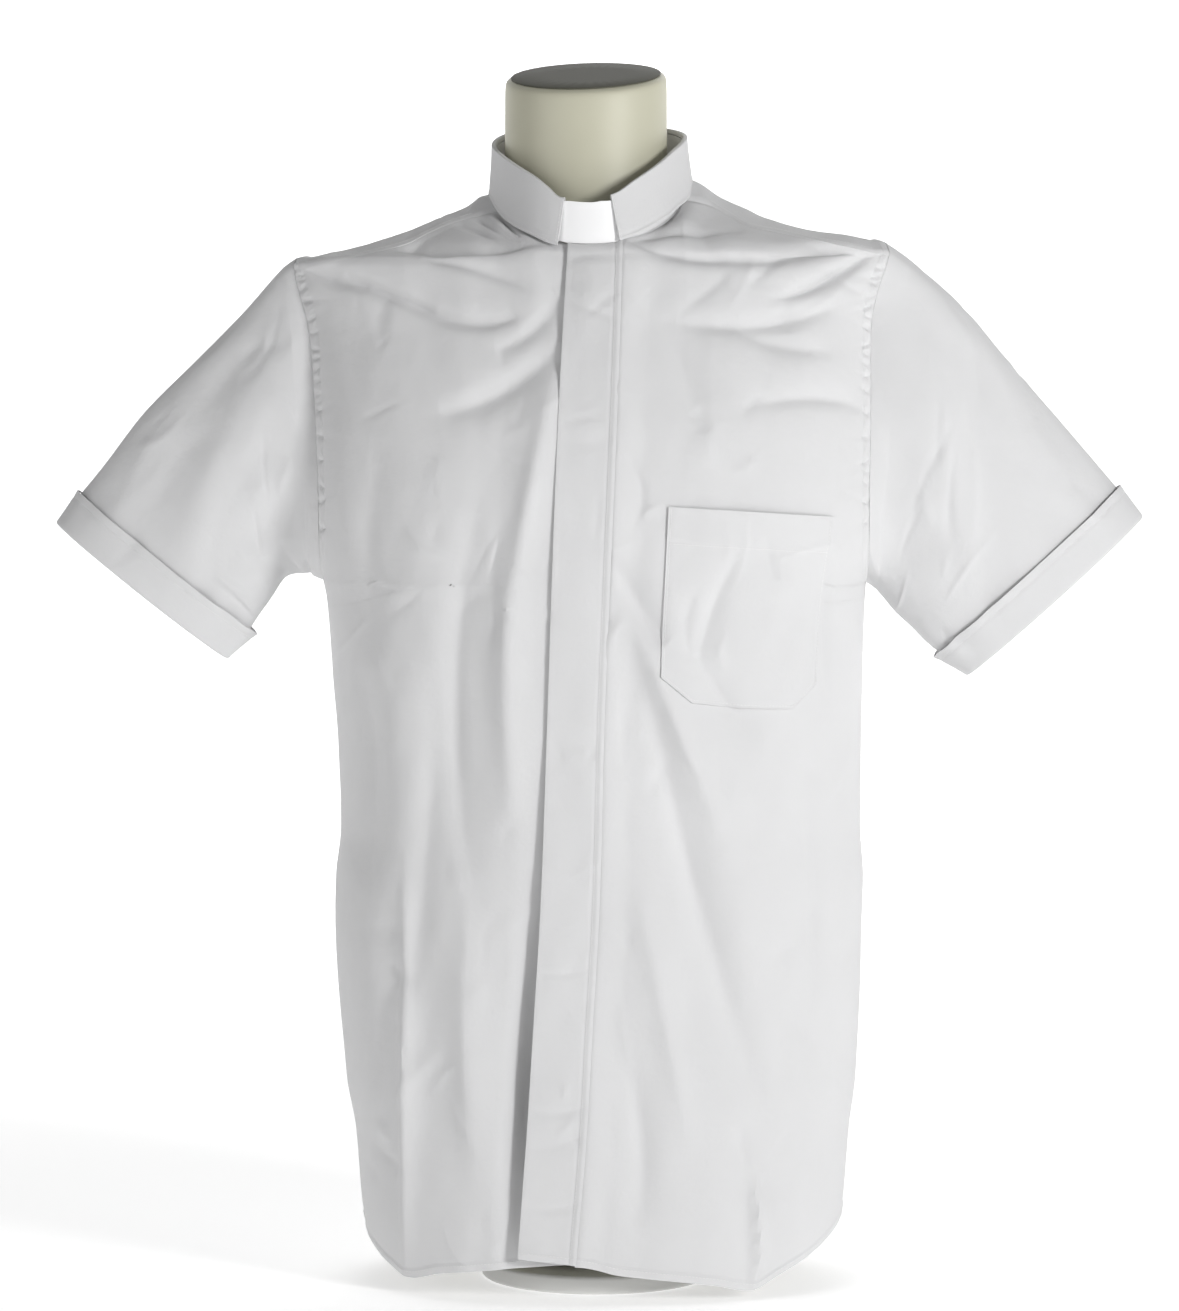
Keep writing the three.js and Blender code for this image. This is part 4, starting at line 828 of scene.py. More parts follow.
# %% Lay the pocket on the left front
POCKET = {"left": 51.8, "right": 173.5, "low_left": 46.0, "low_right": 162.0,
          "top_left": 589.0, "top_right": 581.0, "wide": 120.0, "deep": 145.0}
POCKET_BOTTOM = table("u z", (0, 465), (0.2, 445.5), (0.5, 441), (0.84, 439.5), (1, 457))
POCKET_MOUTH = 2.0
POCKET_HEM = 27.0
POCKET_LINE = 2.2            # the stitches' distance from the pocket's edge


def pocket_place(u, v):
    top = mix(POCKET["top_left"], POCKET["top_right"], u)
    z = mix(top, np.interp(u, POCKET_BOTTOM["u"], POCKET_BOTTOM["z"]), v)
    x = mix(mix(POCKET["left"], POCKET["low_left"], v), mix(POCKET["right"], POCKET["low_right"], v), u)
    return x, z


def pocket_cloth(rows=90, cols=76):
    v, u = np.meshgrid(np.linspace(0, 1, rows), np.linspace(0, 1, cols), indexing="ij")
    x, z = pocket_place(u, v)
    depth = v * POCKET["deep"]
    mouth = POCKET_MOUTH * np.sin(math.pi * u) * (1 - v) ** 3
    turned = 0.45 * ease((POCKET_HEM - depth) / 1.5 + 0.5)
    edge = np.minimum(np.minimum(u, 1 - u) * POCKET["wide"], (1 - v) * POCKET["deep"])
    sunk = -0.45 * np.exp(-((edge - POCKET_LINE) / 0.9) ** 2)
    return cloth("over", front_angle(x, z), z, 1.5 + mouth + turned + sunk)


pocket = sheet("pocket_cloth", pocket_cloth(), poplin, flip=True, thickness=1.0)

# %% [markdown]
# ## The back and the yoke
# The back hangs from the yoke as one piece down to its shirt-tail hem. The yoke goes from the
# back seam over both shoulders, round the neck, to a seam a little in front of the shoulder ridge.
# In the plane across each distance from the middle, its points fan out from a centre in the chest.

# %% The back
BACK_COLS = shares((0.05, 22), (0.95, 110), (1.0, 22))
BACK_ROWS = shares((0.014, 8), (0.8, 150), (1.0, 70))


def back_cloth():
    a = BACK_COLS

    def angle_at(z):
        return mix(math.pi - armhole_angle("right", z), math.pi + armhole_angle("left", z), a)
    low = read(BACK_HEM, "x", "z", torso(angle_at(HEM_LEVEL), np.full(a.shape, HEM_LEVEL))[:, 0])
    z = mix(low, BACK_SEAM - SEAM_GAP, BACK_ROWS[:, None])
    angle = angle_at(z)
    there = torso(angle, z)
    right = np.linalg.norm(there - torso(math.pi - armhole_angle("right", z), z), axis=-1)
    left = np.linalg.norm(there - torso(math.pi + armhole_angle("left", z), z), axis=-1)
    arm = ease((z - UNDERARM["left"]) / 8)
    lift = band(z - low, HEM, 0.7) + arm * (fell(left) + fell(right))
    lift += arm * (puckers("left", z, left) + puckers("right", z, right))
    lift += (1 - arm) * (fell(left) + fell(right)) * 0.7
    return cloth("back", angle, z, lift)


back_points = back_cloth()
back_sheet = np.concatenate([back_points, [back_points[-1] + [0, -TUCK_DEPTH, -0.4],
                                           back_points[-1] + [0, -TUCK_DEPTH, TUCK]]])
back = sheet("back_cloth", back_sheet, poplin)

# %% The yoke
RIDGE_EYE = CHEST            # height of the centre that the yoke's points fan out from
YOKE_ROWS = 60
SHOULDER_COLS = 60
NECK_COLS = 80
INNER_BACK = 104.0
YOKE_LAP = 0.7               # the yoke's folded edge lies over the fronts and the back
YOKE_TURNED = 7.0            # width of the turned-in cloth along its edges
YOKE_LOOSE = 12.0            # from this far in, the yoke has its own creases


def fan_point(x, angle):
    def outside(reach):
        y, z = -reach * np.cos(angle), RIDGE_EYE + reach * np.sin(angle)
        half = np.where(x < 0, read(TORSO, "z", "left", z), read(TORSO, "z", "right", z))
        deep = np.where(y < 0, read(TORSO, "z", "front", z), read(TORSO, "z", "back", z))
        return np.where(z >= TORSO["z"][-1], 1.0, (x / half) ** 2 + (y / deep) ** 2 - 1)
    reach = solve(np.zeros(x.shape), np.full(x.shape, 200.0), outside)
    return np.stack([x, -reach * np.cos(angle), RIDGE_EYE + reach * np.sin(angle)], axis=-1)


def seam_point(x):
    z = yoke_seam(x) - YOKE_LAP
    return torso(front_angle(x, z), z)


def back_point(x):
    z = np.full(np.shape(x), BACK_SEAM - YOKE_LAP)
    return torso(math.pi - front_angle(x, z), z)


def neck_point(degrees):
    x, y = neck_plan(degrees, SEAM_GAP)
    return np.stack([x, y, shoulder_height(x, y)], axis=-1)


def yoke_cloth():
    t = np.linspace(0, 1, SHOULDER_COLS)
    n = np.linspace(0, 1, NECK_COLS)[1:-1]
    arm_left, arm_right = front_points["left"][-1, -1, 0], front_points["right"][-1, -1, 0]
    back_left, back_right = back_points[-1, -1, 0], back_points[-1, 0, 0]
    starts = [seam_point(mix(arm_left, CORNER_X["left"], t)),
              neck_point(mix(CORNER["left"], CORNER["right"] - 360, n)),
              seam_point(mix(CORNER_X["right"], arm_right, t))]
    ends = [back_point(mix(back_left, -INNER_BACK, t)), back_point(mix(-INNER_BACK, INNER_BACK, n)),
            back_point(mix(INNER_BACK, back_right, t))]
    start, end = np.concatenate(starts), np.concatenate(ends)
    fan = [np.arctan2(p[:, 2] - RIDGE_EYE, -p[:, 1]) for p in (start, end)]
    share = np.linspace(0, 1, YOKE_ROWS)[:, None]
    points = fan_point(mix(start[:, 0], end[:, 0], share), mix(fan[0], fan[1], share))
    out = unit(np.cross(np.gradient(points, axis=1), np.gradient(points, axis=0)))
    out *= np.sign(out[..., 2:3] + 1e-9)
    depth = np.cumsum(np.linalg.norm(np.diff(points, axis=0), axis=2), axis=0)
    depth = np.concatenate([np.zeros((1, points.shape[1])), depth])
    from_back = depth[-1] - depth
    on_shoulder = np.ones(points.shape[1])
    on_shoulder[SHOULDER_COLS:-SHOULDER_COLS] = 0
    side_left = np.abs(points[..., 0] - points[:, :1, 0])
    side_right = np.abs(points[..., 0] - points[:, -1:, 0])
    lift = 0.9 * on_shoulder * ease((YOKE_TURNED - depth) / 2.5) * ease(depth / 1.4 + 0.2)
    lift += 0.8 * ease((YOKE_TURNED - from_back) / 2.5) * ease(from_back / 1.4 + 0.2)
    lift += fell(side_left) + fell(side_right)
    loose = ease(depth / YOKE_LOOSE) * ease(from_back / YOKE_LOOSE)
    lift += (ripple(points[..., 0], points[..., 1], 0.5, 70)
             + fold_height(YOKE_CREASES, points[..., 0], points[..., 1])) * loose
    to_neck = np.ones(points.shape)[..., 0]
    to_neck[:, SHOULDER_COLS:-SHOULDER_COLS] = ease(depth[:, SHOULDER_COLS:-SHOULDER_COLS] / 4)
    lift += collar_base(points) * to_neck * ease(depth / 4 + 1 - on_shoulder)
    return points + out * lift[..., None]


yoke_points = yoke_cloth()
yoke = sheet("yoke_cloth", yoke_points, poplin, weave_turn=True)

# %% [markdown]
# ## The sleeves and their cuffs
# A short sleeve is a tube sewn into the armhole, so its first ring is the edge that the fronts, the
# yoke and the back leave. From there it blends into flattened ovals down to the cuff. The cuff is
# the sleeve's end turned up: it folds round the edge and runs back up outside, with a free edge.

# %% Sleeves
SLEEVE_COLUMNS = "t top_x top_z low_x low_z depth"
SLEEVES = {
    "left": table(SLEEVE_COLUMNS,
                  (0.1, -240, 764, -221, 541, 50), (0.28, -270, 731, -236, 533, 49),
                  (0.46, -304, 697, -246, 519, 46), (0.64, -341, 659, -256, 505, 42),
                  (0.82, -376, 614, -267, 489, 38), (1, -406, 576, -280, 475.5, 35)),
    "right": table(SLEEVE_COLUMNS,
                   (0.1, 243, 768, 214, 521, 50), (0.28, 276, 739, 226, 507, 49),
                   (0.46, 309, 700, 240, 494, 46), (0.64, 343, 660, 252, 482, 42),
                   (0.82, 378, 619, 266, 472, 38), (1, 410, 580.5, 280, 462.5, 35)),
}
SLEEVE_FOLD_COLUMNS = "g0 t0 g1 t1 width height"
SLEEVE_FOLDS = {
    "left": table(SLEEVE_FOLD_COLUMNS,
                  (0.40, 0.10, 0.33, 0.88, 0.045, -4.0), (0.13, 0.02, 0.17, 0.55, 0.03, -4.5),
                  (0.72, 0.10, 0.66, 0.80, 0.045, -4.5), (0.22, 0.03, 0.24, 0.35, 0.025, -2.0),
                  (0.28, 0.45, 0.20, 0.90, 0.035, 2.6), (0.07, 0.60, 0.12, 0.95, 0.02, -2.0),
                  (0.85, 0.05, 0.80, 0.60, 0.03, -4.0)),
    "right": table(SLEEVE_FOLD_COLUMNS,
                   (0.37, 0.20, 0.20, 0.82, 0.05, -4.5), (0.12, 0.02, 0.19, 0.50, 0.03, -4.5),
                   (0.70, 0.10, 0.62, 0.80, 0.045, -4.5), (0.21, 0.02, 0.23, 0.28, 0.025, -2.4),
                   (0.43, 0.10, 0.40, 0.60, 0.03, 2.0), (0.06, 0.50, 0.11, 0.90, 0.02, -2.0),
                   (0.86, 0.05, 0.80, 0.60, 0.03, -4.0)),
}
SLEEVE_ROWS = 110
HALF_RING = 70
SLEEVE_LENGTH, SLEEVE_GIRTH = 265.0, 420.0


def resample(points, count):
    """Even steps along a line of points."""
    along = np.concatenate([[0], np.cumsum(np.linalg.norm(np.diff(points, axis=0), axis=1))])
    at = np.linspace(0, along[-1], count)
    return np.stack([np.interp(at, along, points[:, k]) for k in range(3)], axis=1)


def armhole_ring(side):
    """Underarm, up the front edge, over the yoke's edge and down the back edge."""
    front = front_points[side][:, -1]
    front = front[front[:, 2] >= UNDERARM[side]]
    yoke_edge = yoke_points[:, 0 if side == "left" else -1]
    rear = back_points[:, -1 if side == "left" else 0][::-1]
    rear = rear[rear[:, 2] >= UNDERARM[side]]
    ring = np.concatenate([front, yoke_edge, rear])
    top = int(np.argmax(ring[:, 2]))
    return np.concatenate([resample(ring[:top + 1], HALF_RING), resample(ring[top:], HALF_RING)[1:-1]])


def sleeve_fold(side, g, t):
    total = np.zeros(np.broadcast(g, t).shape)
    folds = SLEEVE_FOLDS[side]
    for k in range(len(folds["g0"])):
        f = {name: column[k] for name, column in folds.items()}
        share = np.clip((t - f["t0"]) / (f["t1"] - f["t0"]), 0, 1)
        across = (g - mix(f["g0"], f["g1"], share)) / f["width"]
        beyond = (t - mix(f["t0"], f["t1"], share)) / 0.1
        total += f["height"] * np.sin(math.pi * mix(0.1, 0.9, share)) * np.exp(-across ** 2 - beyond ** 2)
    return total


def sleeve_cloth(side):
    sign = -1 if side == "left" else 1
    ring = armhole_ring(side)
    count = len(ring)
    top = HALF_RING - 1
    k = np.arange(count)
    g = np.where(k <= top, 0.5 * k / top, 0.5 + 0.5 * (k - top) / (count - top))[None, :]
    t = (np.linspace(0, 1, SLEEVE_ROWS) ** 1.12)[:, None]

    def column(name):
        return read(SLEEVES[side], "t", name, t)
    rise = (1 - np.cos(2 * math.pi * g)) / 2
    x = mix(column("low_x"), column("top_x"), rise)
    z = mix(column("low_z"), column("top_z"), rise)
    y = -column("depth") * np.sin(2 * math.pi * g)
    body = np.stack([x, y, z], axis=-1)
    near = (np.clip(1 - t / 0.3, 0, 1) ** 2)[..., None]
    start = ring[None] + np.stack([sign * (60 * t + SEAM_GAP), 0 * t, -22 * t], axis=-1)
    points = mix(body, start, near)
    around = np.roll(points, -1, axis=1) - np.roll(points, 1, axis=1)
    out = unit(np.cross(around, np.gradient(points, axis=0))) * -sign
    away = 1 - near[..., 0]
    across, down = np.broadcast_arrays(g * SLEEVE_GIRTH, t * SLEEVE_LENGTH)
    lift = sleeve_fold(side, g, t) * away * ease((1 - t) / 0.15)
    lift += ripple(across + 900, down, 0.8, 80) * away * ease((1 - t) / 0.1)
    lift += fold_height(SLEEVE_CREASES[side], across, down) * ease((1 - t) / 0.08)
    girth_noise = np.sin(2 * math.pi * g * 31 + 1.7) + 0.6 * np.sin(2 * math.pi * g * 47)
    lift += 0.35 * girth_noise * np.exp(-down / 7) * ease(down / 2)
    points = points + out * lift[..., None]
    centre = ring.mean(axis=0)
    inward = unit((centre - points[0]) * [0, 1, 1])
    at_seam = points[0] + inward * TUCK_DEPTH
    hidden = at_seam - np.array([sign * TUCK, 0, 0]) + inward * 0.4
    return points, np.concatenate([[hidden, at_seam], points])


sleeve_points, sleeves = {}, {}
for side, worn in (("left", "right"), ("right", "left")):
    sleeve_points[side], whole = sleeve_cloth(side)
    sleeves[side] = sheet(f"{worn}_sleeve_cloth", whole, poplin, wrap=True, flip=side == "right")

# %% Cuffs
CUFF_WIDTH = 28.0
CUFF_LINE = 20.0             # the stitches' distance from the fold
FOLD_RADIUS = 1.9
FOLD_ANGLES = (20, 50, 80, 110, 140, 165)


def cuff_cloth(side):
    grid = sleeve_points[side]
    end, before = grid[-1], grid[-9]
    along = unit(end - before)
    across = np.roll(end, -1, axis=0) - np.roll(end, 1, axis=0)
    out = unit(np.cross(across, along)) * (1 if side == "left" else -1)
    middle = end - out * CLOTH / 2
    k = np.arange(len(end)) / len(end)
    gape = 0.8 + 0.7 * np.sin(2 * math.pi * (k * 2 + 0.1)) + 0.4 * np.sin(2 * math.pi * (k * 5 + 0.3))
    rows = [(SEAM_GAP + 0.1, 0.0)]
    rows += [(2 + FOLD_RADIUS * math.sin(r), FOLD_RADIUS * (1 - math.cos(r)))
             for r in np.radians(FOLD_ANGLES)]
    rows += [(s, 2 * FOLD_RADIUS) for s in np.linspace(0, 2 - CUFF_WIDTH, 22)]
    points = []
    for forward, raised in rows:
        free = max(0.0, -forward / CUFF_WIDTH) ** 2
        stitched = -0.4 * math.exp(-((forward + CUFF_LINE) / 1.2) ** 2)
        points.append(middle + along * forward + out * (raised + stitched + free * gape[:, None]))
    return np.array(points)


cuffs = {}
for side, worn in (("left", "right"), ("right", "left")):
    cuffs[side] = sheet(f"{worn}_cuff_cloth", cuff_cloth(side), poplin, wrap=True, flip=side == "left")

# %% [markdown]
# ## The collar
# The stand is a band on the neckline. The fall is folded over its top edge and hangs outside it,
# higher at the sides and the back than in front, where its two ends leave room for the tab.
# Both are stiffened, so they hardly crease: they get a soft unevenness only.

# %% Collar heights, by the angle round the neck
COLLAR = table("a top low",
               (-180, 882, 829), (-135, 876, 825), (-90, 862, 817), (-64, 851, 802), (-48, 842, 792),
               (-34, 833, 785), (-26, 825.5, 783), (-18, 817.5, 781), (0, 815.5, 781),
               (14, 820.3, 784), (26, 830, 789), (45, 844, 801), (62, 856, 813),
               (90, 868, 826), (135, 878, 828), (180, 882, 829))
COLLAR_FLARE = 3.0
FALL_ENDS = {"top": (-15.5, 11.5), "low": (-19.5, 15.5)}
STAND_SPLIT = -13.5
FALL_CLEAR = PLY + LAP + 1.3
STAND_DROP = 5.0
LEAN_FROM, LEAN_OVER = 790, 100      # the collar leans from this height on, over this height
LEAN = (-2.5, 9.0)                   # and by this much, across and backwards
STAND_CLEAR = 1.5
FALL_REST = 3.4
FOLD_SQUARE = 0.55           # less than 1 makes the folded edge squarer
TAB = {"left": -23.0, "right": 18.0, "height": 32.0, "reveal": 3.4, "sag": 2.0, "drop": 3.2}


def collar_read(column, degrees):
    return read(COLLAR, "a", column, (degrees + 540) % 360 - 180)


def collar_point(degrees, margin, z):
    x, y = neck_plan(degrees, margin)
    lean = np.clip((z - LEAN_FROM) / LEAN_OVER, 0, 1)
    return np.stack(np.broadcast_arrays(x + LEAN[0] * lean, y + LEAN[1] * lean, z), axis=-1)


def stand_cloth(rows=22, cols=220):
    a = np.linspace(STAND_SPLIT + 0.25, STAND_SPLIT + 359.75, cols)
    low = neck_height(a) + STAND_CLEAR
    t = np.linspace(0, 1, rows)[:, None]
    z = mix(low, collar_read("top", a) - STAND_DROP, t)
    edge = 0.35 * np.exp(-(((z - low) - 1.0) / 0.9) ** 2) - 0.35 * np.exp(-(((z - low) - 2.6) / 0.5) ** 2)
    return collar_point(a, edge, z)


def fall_cloth(cols=240):
    def row(share, margin, drop):
        t = np.linspace(0, 1, cols)
        left, right = (mix(FALL_ENDS["top"][k], FALL_ENDS["low"][k], share) for k in (0, 1))
        a = mix(right, left + 360, t)
        x, y = neck_plan(a, margin + 1)
        low = np.maximum(collar_read("low", a), shoulder_height(x, y) + FALL_REST)
        z = mix(collar_read("top", a) - PLY / 2, low, share) - drop
        soft = 0.25 * np.sin(np.radians(a) * 5 + 1) * share + 0.2 * np.sin(np.radians(a) * 11) * share
        return collar_point(a, margin + soft, z)
    under, outside = -PLY / 2, FALL_CLEAR - PLY / 2
    reach = (outside - under) / 2
    rows = [row(0, under, STAND_DROP - PLY / 2 - 2 * SEAM_GAP), row(0, under, 2.4)]
    for r in np.radians([10, 30, 50, 70, 90, 110, 130, 150, 170]):
        across = math.copysign(abs(math.cos(r)) ** FOLD_SQUARE, math.cos(r))
        rows.append(row(0, under + reach * (1 - across), 1.4 * (1 - math.sin(r) ** FOLD_SQUARE)))
    for share in np.linspace(0.04, 1, 30):
        rim = 0.35 * math.exp(-((share - 0.97) / 0.02) ** 2)
        rim -= 0.3 * math.exp(-((share - 0.9) / 0.02) ** 2)
        rows.append(row(share, outside + COLLAR_FLARE * share ** 1.5 + rim, 0))
    return np.array(rows)


stand = sheet("collar_stand_cloth", stand_cloth(), poplin, thickness=1.4)
fall = sheet("collar_fall_cloth", fall_cloth(), poplin, thickness=1.4, flip=True)

# %% [markdown]
# ## The tab
# The tab is a strip of smooth white plastic, a millimetre thick. Its ends slide in under the ends
# of the fall, so only the part between them shows, a little lower in the middle than at its sides.

# %% Tab
def tab_points(rows=24, cols=60):
    t = np.linspace(0, 1, cols)
    a = mix(TAB["left"], TAB["right"], t)
    sag = TAB["sag"] * (1 - (2 * t - 1) ** 2)
    base = float(neck_height(np.array(0.0))) + TAB["reveal"]
    low = np.maximum(base + TAB["sag"] - sag, neck_height(a) + 2)
    high = np.minimum(base + TAB["height"] - sag / 2, collar_read("top", a) - TAB["drop"])
    z = mix(low, high, np.linspace(0, 1, rows)[:, None])
    return collar_point(a, LAP + 1.0, z)


tab_white, nodes, links, shader = material("tab_plastic", (0.96, 0.96, 0.965), 0.38)
tab_bump = bump(nodes, links, noise(nodes, links, 220), 0.00005)
links.new(tab_bump.outputs["Normal"], shader.inputs["Normal"])
tab = sheet("tab_strip", tab_points(), tab_white, thickness=1.0)

# %% [markdown]
# ## The dress form
# The form is a smooth moulded shell, cream coloured. The plate at the top of its neck is given a dark
# olive, which is painted shade: the neck's top faces up, away from the lamps. Its solid in the frame has
# the right shape but flat faces. A copy of it is merged and given a subdivision surface, which rounds
# the faces off; the copy stands for the solid, which is hidden.

# %% Form, neck cap and foot
NECK_TOP = {"z": 0.912, "back_rise": 0.25, "right_rise": 0.035}
RIM_LEVEL = -0.0006          # metres from the neck's top plane; its rim stays sharp


def neck_top(x, y):
    """Height of the slanting plane in which the neck ends."""
    return NECK_TOP["z"] + NECK_TOP["back_rise"] * y + NECK_TOP["right_rise"] * x


def smooth_copy(node, name, finish, levels):
    deselect()
    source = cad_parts[node]
    source.select_set(True)
    bpy.context.view_layer.objects.active = source
    made = source.copy()
    made.data = source.data.copy()
    made.name = name
    made.parent = None
    bpy.context.scene.collection.objects.link(made)
    deselect()
    made.select_set(True)
    bpy.context.view_layer.objects.active = made
    bpy.ops.object.mode_set(mode="EDIT")
    bpy.ops.mesh.select_all(action="SELECT")
    bpy.ops.mesh.remove_doubles(threshold=0.00002)
    bpy.ops.mesh.tris_convert_to_quads(face_threshold=math.radians(60), shape_threshold=math.radians(60))
    bpy.ops.object.mode_set(mode="OBJECT")
    creases = made.data.edge_creases_ensure()
    over = np.array([v.co.z - neck_top(v.co.x, v.co.y) for v in made.data.vertices])
    for edge in made.data.edges:
        on_rim = all(over[k] > RIM_LEVEL for k in edge.vertices)
        creases.data[edge.index].value = 1.0 if on_rim else 0.0
    smooth = made.modifiers.new("smooth", "SUBSURF")
    smooth.levels = smooth.render_levels = levels
    bpy.ops.object.modifier_apply(modifier="smooth")
    bpy.ops.object.shade_smooth_by_angle(angle=math.radians(60))
    made.data.materials.clear()
    made.data.materials.append(finish)
    print(name, len(made.data.polygons), "faces")
    return made


def form_finish(name, colour, roughness):
    made, nodes, links, shader = material(name, colour, roughness)
    grain = bump(nodes, links, noise(nodes, links, 900, 3), 0.0002, 0.35)
    links.new(grain.outputs["Normal"], shader.inputs["Normal"])
    mottle(nodes, links, shader, colour, noise(nodes, links, 14), 0.93, 1.05)
    return made


cream = form_finish("form_cream", (0.56, 0.548, 0.43), 0.5)
# painted shade: the neck cap's near-black olive stands in for the shade on the neck's upward-facing top
cap_painted_shade = form_finish("form_cap_painted_shade", (0.10, 0.10, 0.075), 0.7)
form = smooth_copy("form_torso", "dress_form", cream, 2)

# %% Draw the form in under the cloth
CLEAR = {"inset": 5.0, "from": 812.0, "fade": 22.0}   # millimetres, below this height
form_places = np.empty(len(form.data.vertices) * 3)
form_normals = np.empty(len(form.data.vertices) * 3)
form.data.vertices.foreach_get("co", form_places)
form.data.vertices.foreach_get("normal", form_normals)
form_inset = CLEAR["inset"] * MM * ease((CLEAR["from"] - form_places[2::3] / MM) / CLEAR["fade"])
form.data.vertices.foreach_set("co", form_places - form_normals * np.repeat(form_inset, 3))
form.data.update()
cap = smooth_copy("form_neck_cap", "neck_cap_plate", cap_painted_shade, 1)

# %% The foot
FOOT_RADIUS, FOOT_HEIGHT = 0.088, 0.014
deselect()
bpy.ops.mesh.primitive_cylinder_add(vertices=96, radius=FOOT_RADIUS, depth=FOOT_HEIGHT,
                                    location=(0, 0, FOOT_HEIGHT / 2))
foot = bpy.context.object
foot.name = "form_foot_disc"
bpy.ops.object.transform_apply(location=True)
rounding = foot.modifiers.new("rounding", "BEVEL")
rounding.width = 0.003
rounding.segments = 4
bpy.ops.object.modifier_apply(modifier="rounding")
bpy.ops.object.shade_smooth_by_angle(angle=math.radians(40))
foot.data.materials.append(form_finish("foot_pale", (0.76, 0.76, 0.74), 0.45))

# %% [markdown]
# ## Sewing
# The seams are topstitched with white thread, about four stitches to the centimetre. A stitch is a
# small capsule, thinner at its ends, where it dips into the cloth. It is worked out once and then
# set along each line, and a line is found on the finished sheet at a distance from one of its edges.

# %% One stitch
STITCH = {"pitch": 2.7, "length": 2.25, "width": 0.42, "sides": 6}
STITCH_STATIONS = table("along thick lift",
                        (-0.5, 0, -0.12), (-0.42, 0.7, -0.02), (-0.2, 1, 0.1), (0.2, 1, 0.1),
                        (0.42, 0.7, -0.02), (0.5, 0, -0.12))


def stitch_points():
    """Points and faces of one stitch along X, its outer side towards +Z, in millimetres."""
    sides = STITCH["sides"]
    turn = 2 * math.pi * np.arange(sides) / sides
    points, faces = [], []
    for along, thick, lift in zip(*STITCH_STATIONS.values()):
        ring = sides if thick else 1
        radius = STITCH["width"] / 2 * thick
        for k in range(ring):
            points.append((along * STITCH["length"], radius * math.cos(turn[k]),
                           lift + radius * math.sin(turn[k])))
    last = len(points) - 1
    for k in range(sides):
        n = (k + 1) % sides
        faces.append((0, 1 + n, 1 + k))
        for ring in range(3):
            start = 1 + ring * sides
            faces.append((start + k, start + n, start + sides + n, start + sides + k))
        faces.append((last, last - sides + k, last - sides + n))
    return np.array(points), faces


STITCH_POINTS, STITCH_FACES = stitch_points()
print("one stitch", len(STITCH_FACES), "faces")

# %% Lines on the sheets
BESIDE = 0.8                 # how far off a line the cloth's slope is measured


def edge_line(name, edge, distance, first=0.0, last=1.0, rows=None):
    """A line that keeps a distance from an edge of a sheet, with points just beside it."""
    grid = GRIDS[name] if rows is None else GRIDS[name][rows[0]:rows[1]]
    if edge in ("first_row", "last_row"):
        grid = np.swapaxes(grid, 0, 1)
    if edge in ("last_row", "last_column"):
        grid = grid[:, ::-1]
    step = np.linalg.norm(np.diff(grid, axis=1), axis=2)
    reach = np.concatenate([np.zeros((len(grid), 1)), np.cumsum(step, axis=1)], axis=1)

    def at(far):
        return np.array([[np.interp(far, reach[i], grid[i, :, k]) for k in range(3)]
                         for i in range(len(grid))])
    low, high = int(first * (len(grid) - 1)), int(last * (len(grid) - 1)) + 1
    beside = at(distance + BESIDE) - at(max(0, distance - BESIDE))
    return at(distance)[low:high], beside[low:high]


def sew(name, lines, centre):
    """Stitches along lines, as one mesh; the centre tells which side of the cloth is outside."""
    points, faces = [], []
    for line, beside in lines:
        run = np.concatenate([[0], np.cumsum(np.linalg.norm(np.diff(line, axis=0), axis=1))])
        at = np.arange(STITCH["pitch"], run[-1] - STITCH["pitch"] / 2, STITCH["pitch"])

        def pick(values, where):
            return np.stack([np.interp(where, run, values[:, k]) for k in range(3)], axis=1)
        place = pick(line, at)
        along = unit(pick(line, at + 1) - pick(line, at - 1))
        out = unit(np.cross(pick(beside, at), along))
        middle = np.array([[c if c is not None else value for c, value in zip(centre, p)] for p in place])
        out *= np.sign((out * (place - middle)).sum(axis=1, keepdims=True))
        side = np.cross(out, along)
        frames = np.stack([along, side, out], axis=1)
        made = place[:, None] + np.einsum("pk,skc->spc", STITCH_POINTS, frames)
        start = sum(len(p) for p in points)
        points.append(made.reshape(-1, 3))
        count = len(STITCH_POINTS)
        faces += [[start + s * count + k for k in face] for s in range(len(at)) for face in STITCH_FACES]
    mesh = bpy.data.meshes.new(name)
    mesh.from_pydata((np.concatenate(points) * MM).tolist(), [], faces)
    mesh.materials.append(thread)
    made = bpy.data.objects.new(name, mesh)
    bpy.context.scene.collection.objects.link(made)
    deselect()
    bpy.context.view_layer.objects.active = made
    made.select_set(True)
    bpy.ops.object.shade_smooth()
    print(name, len(faces), "faces")
    return made


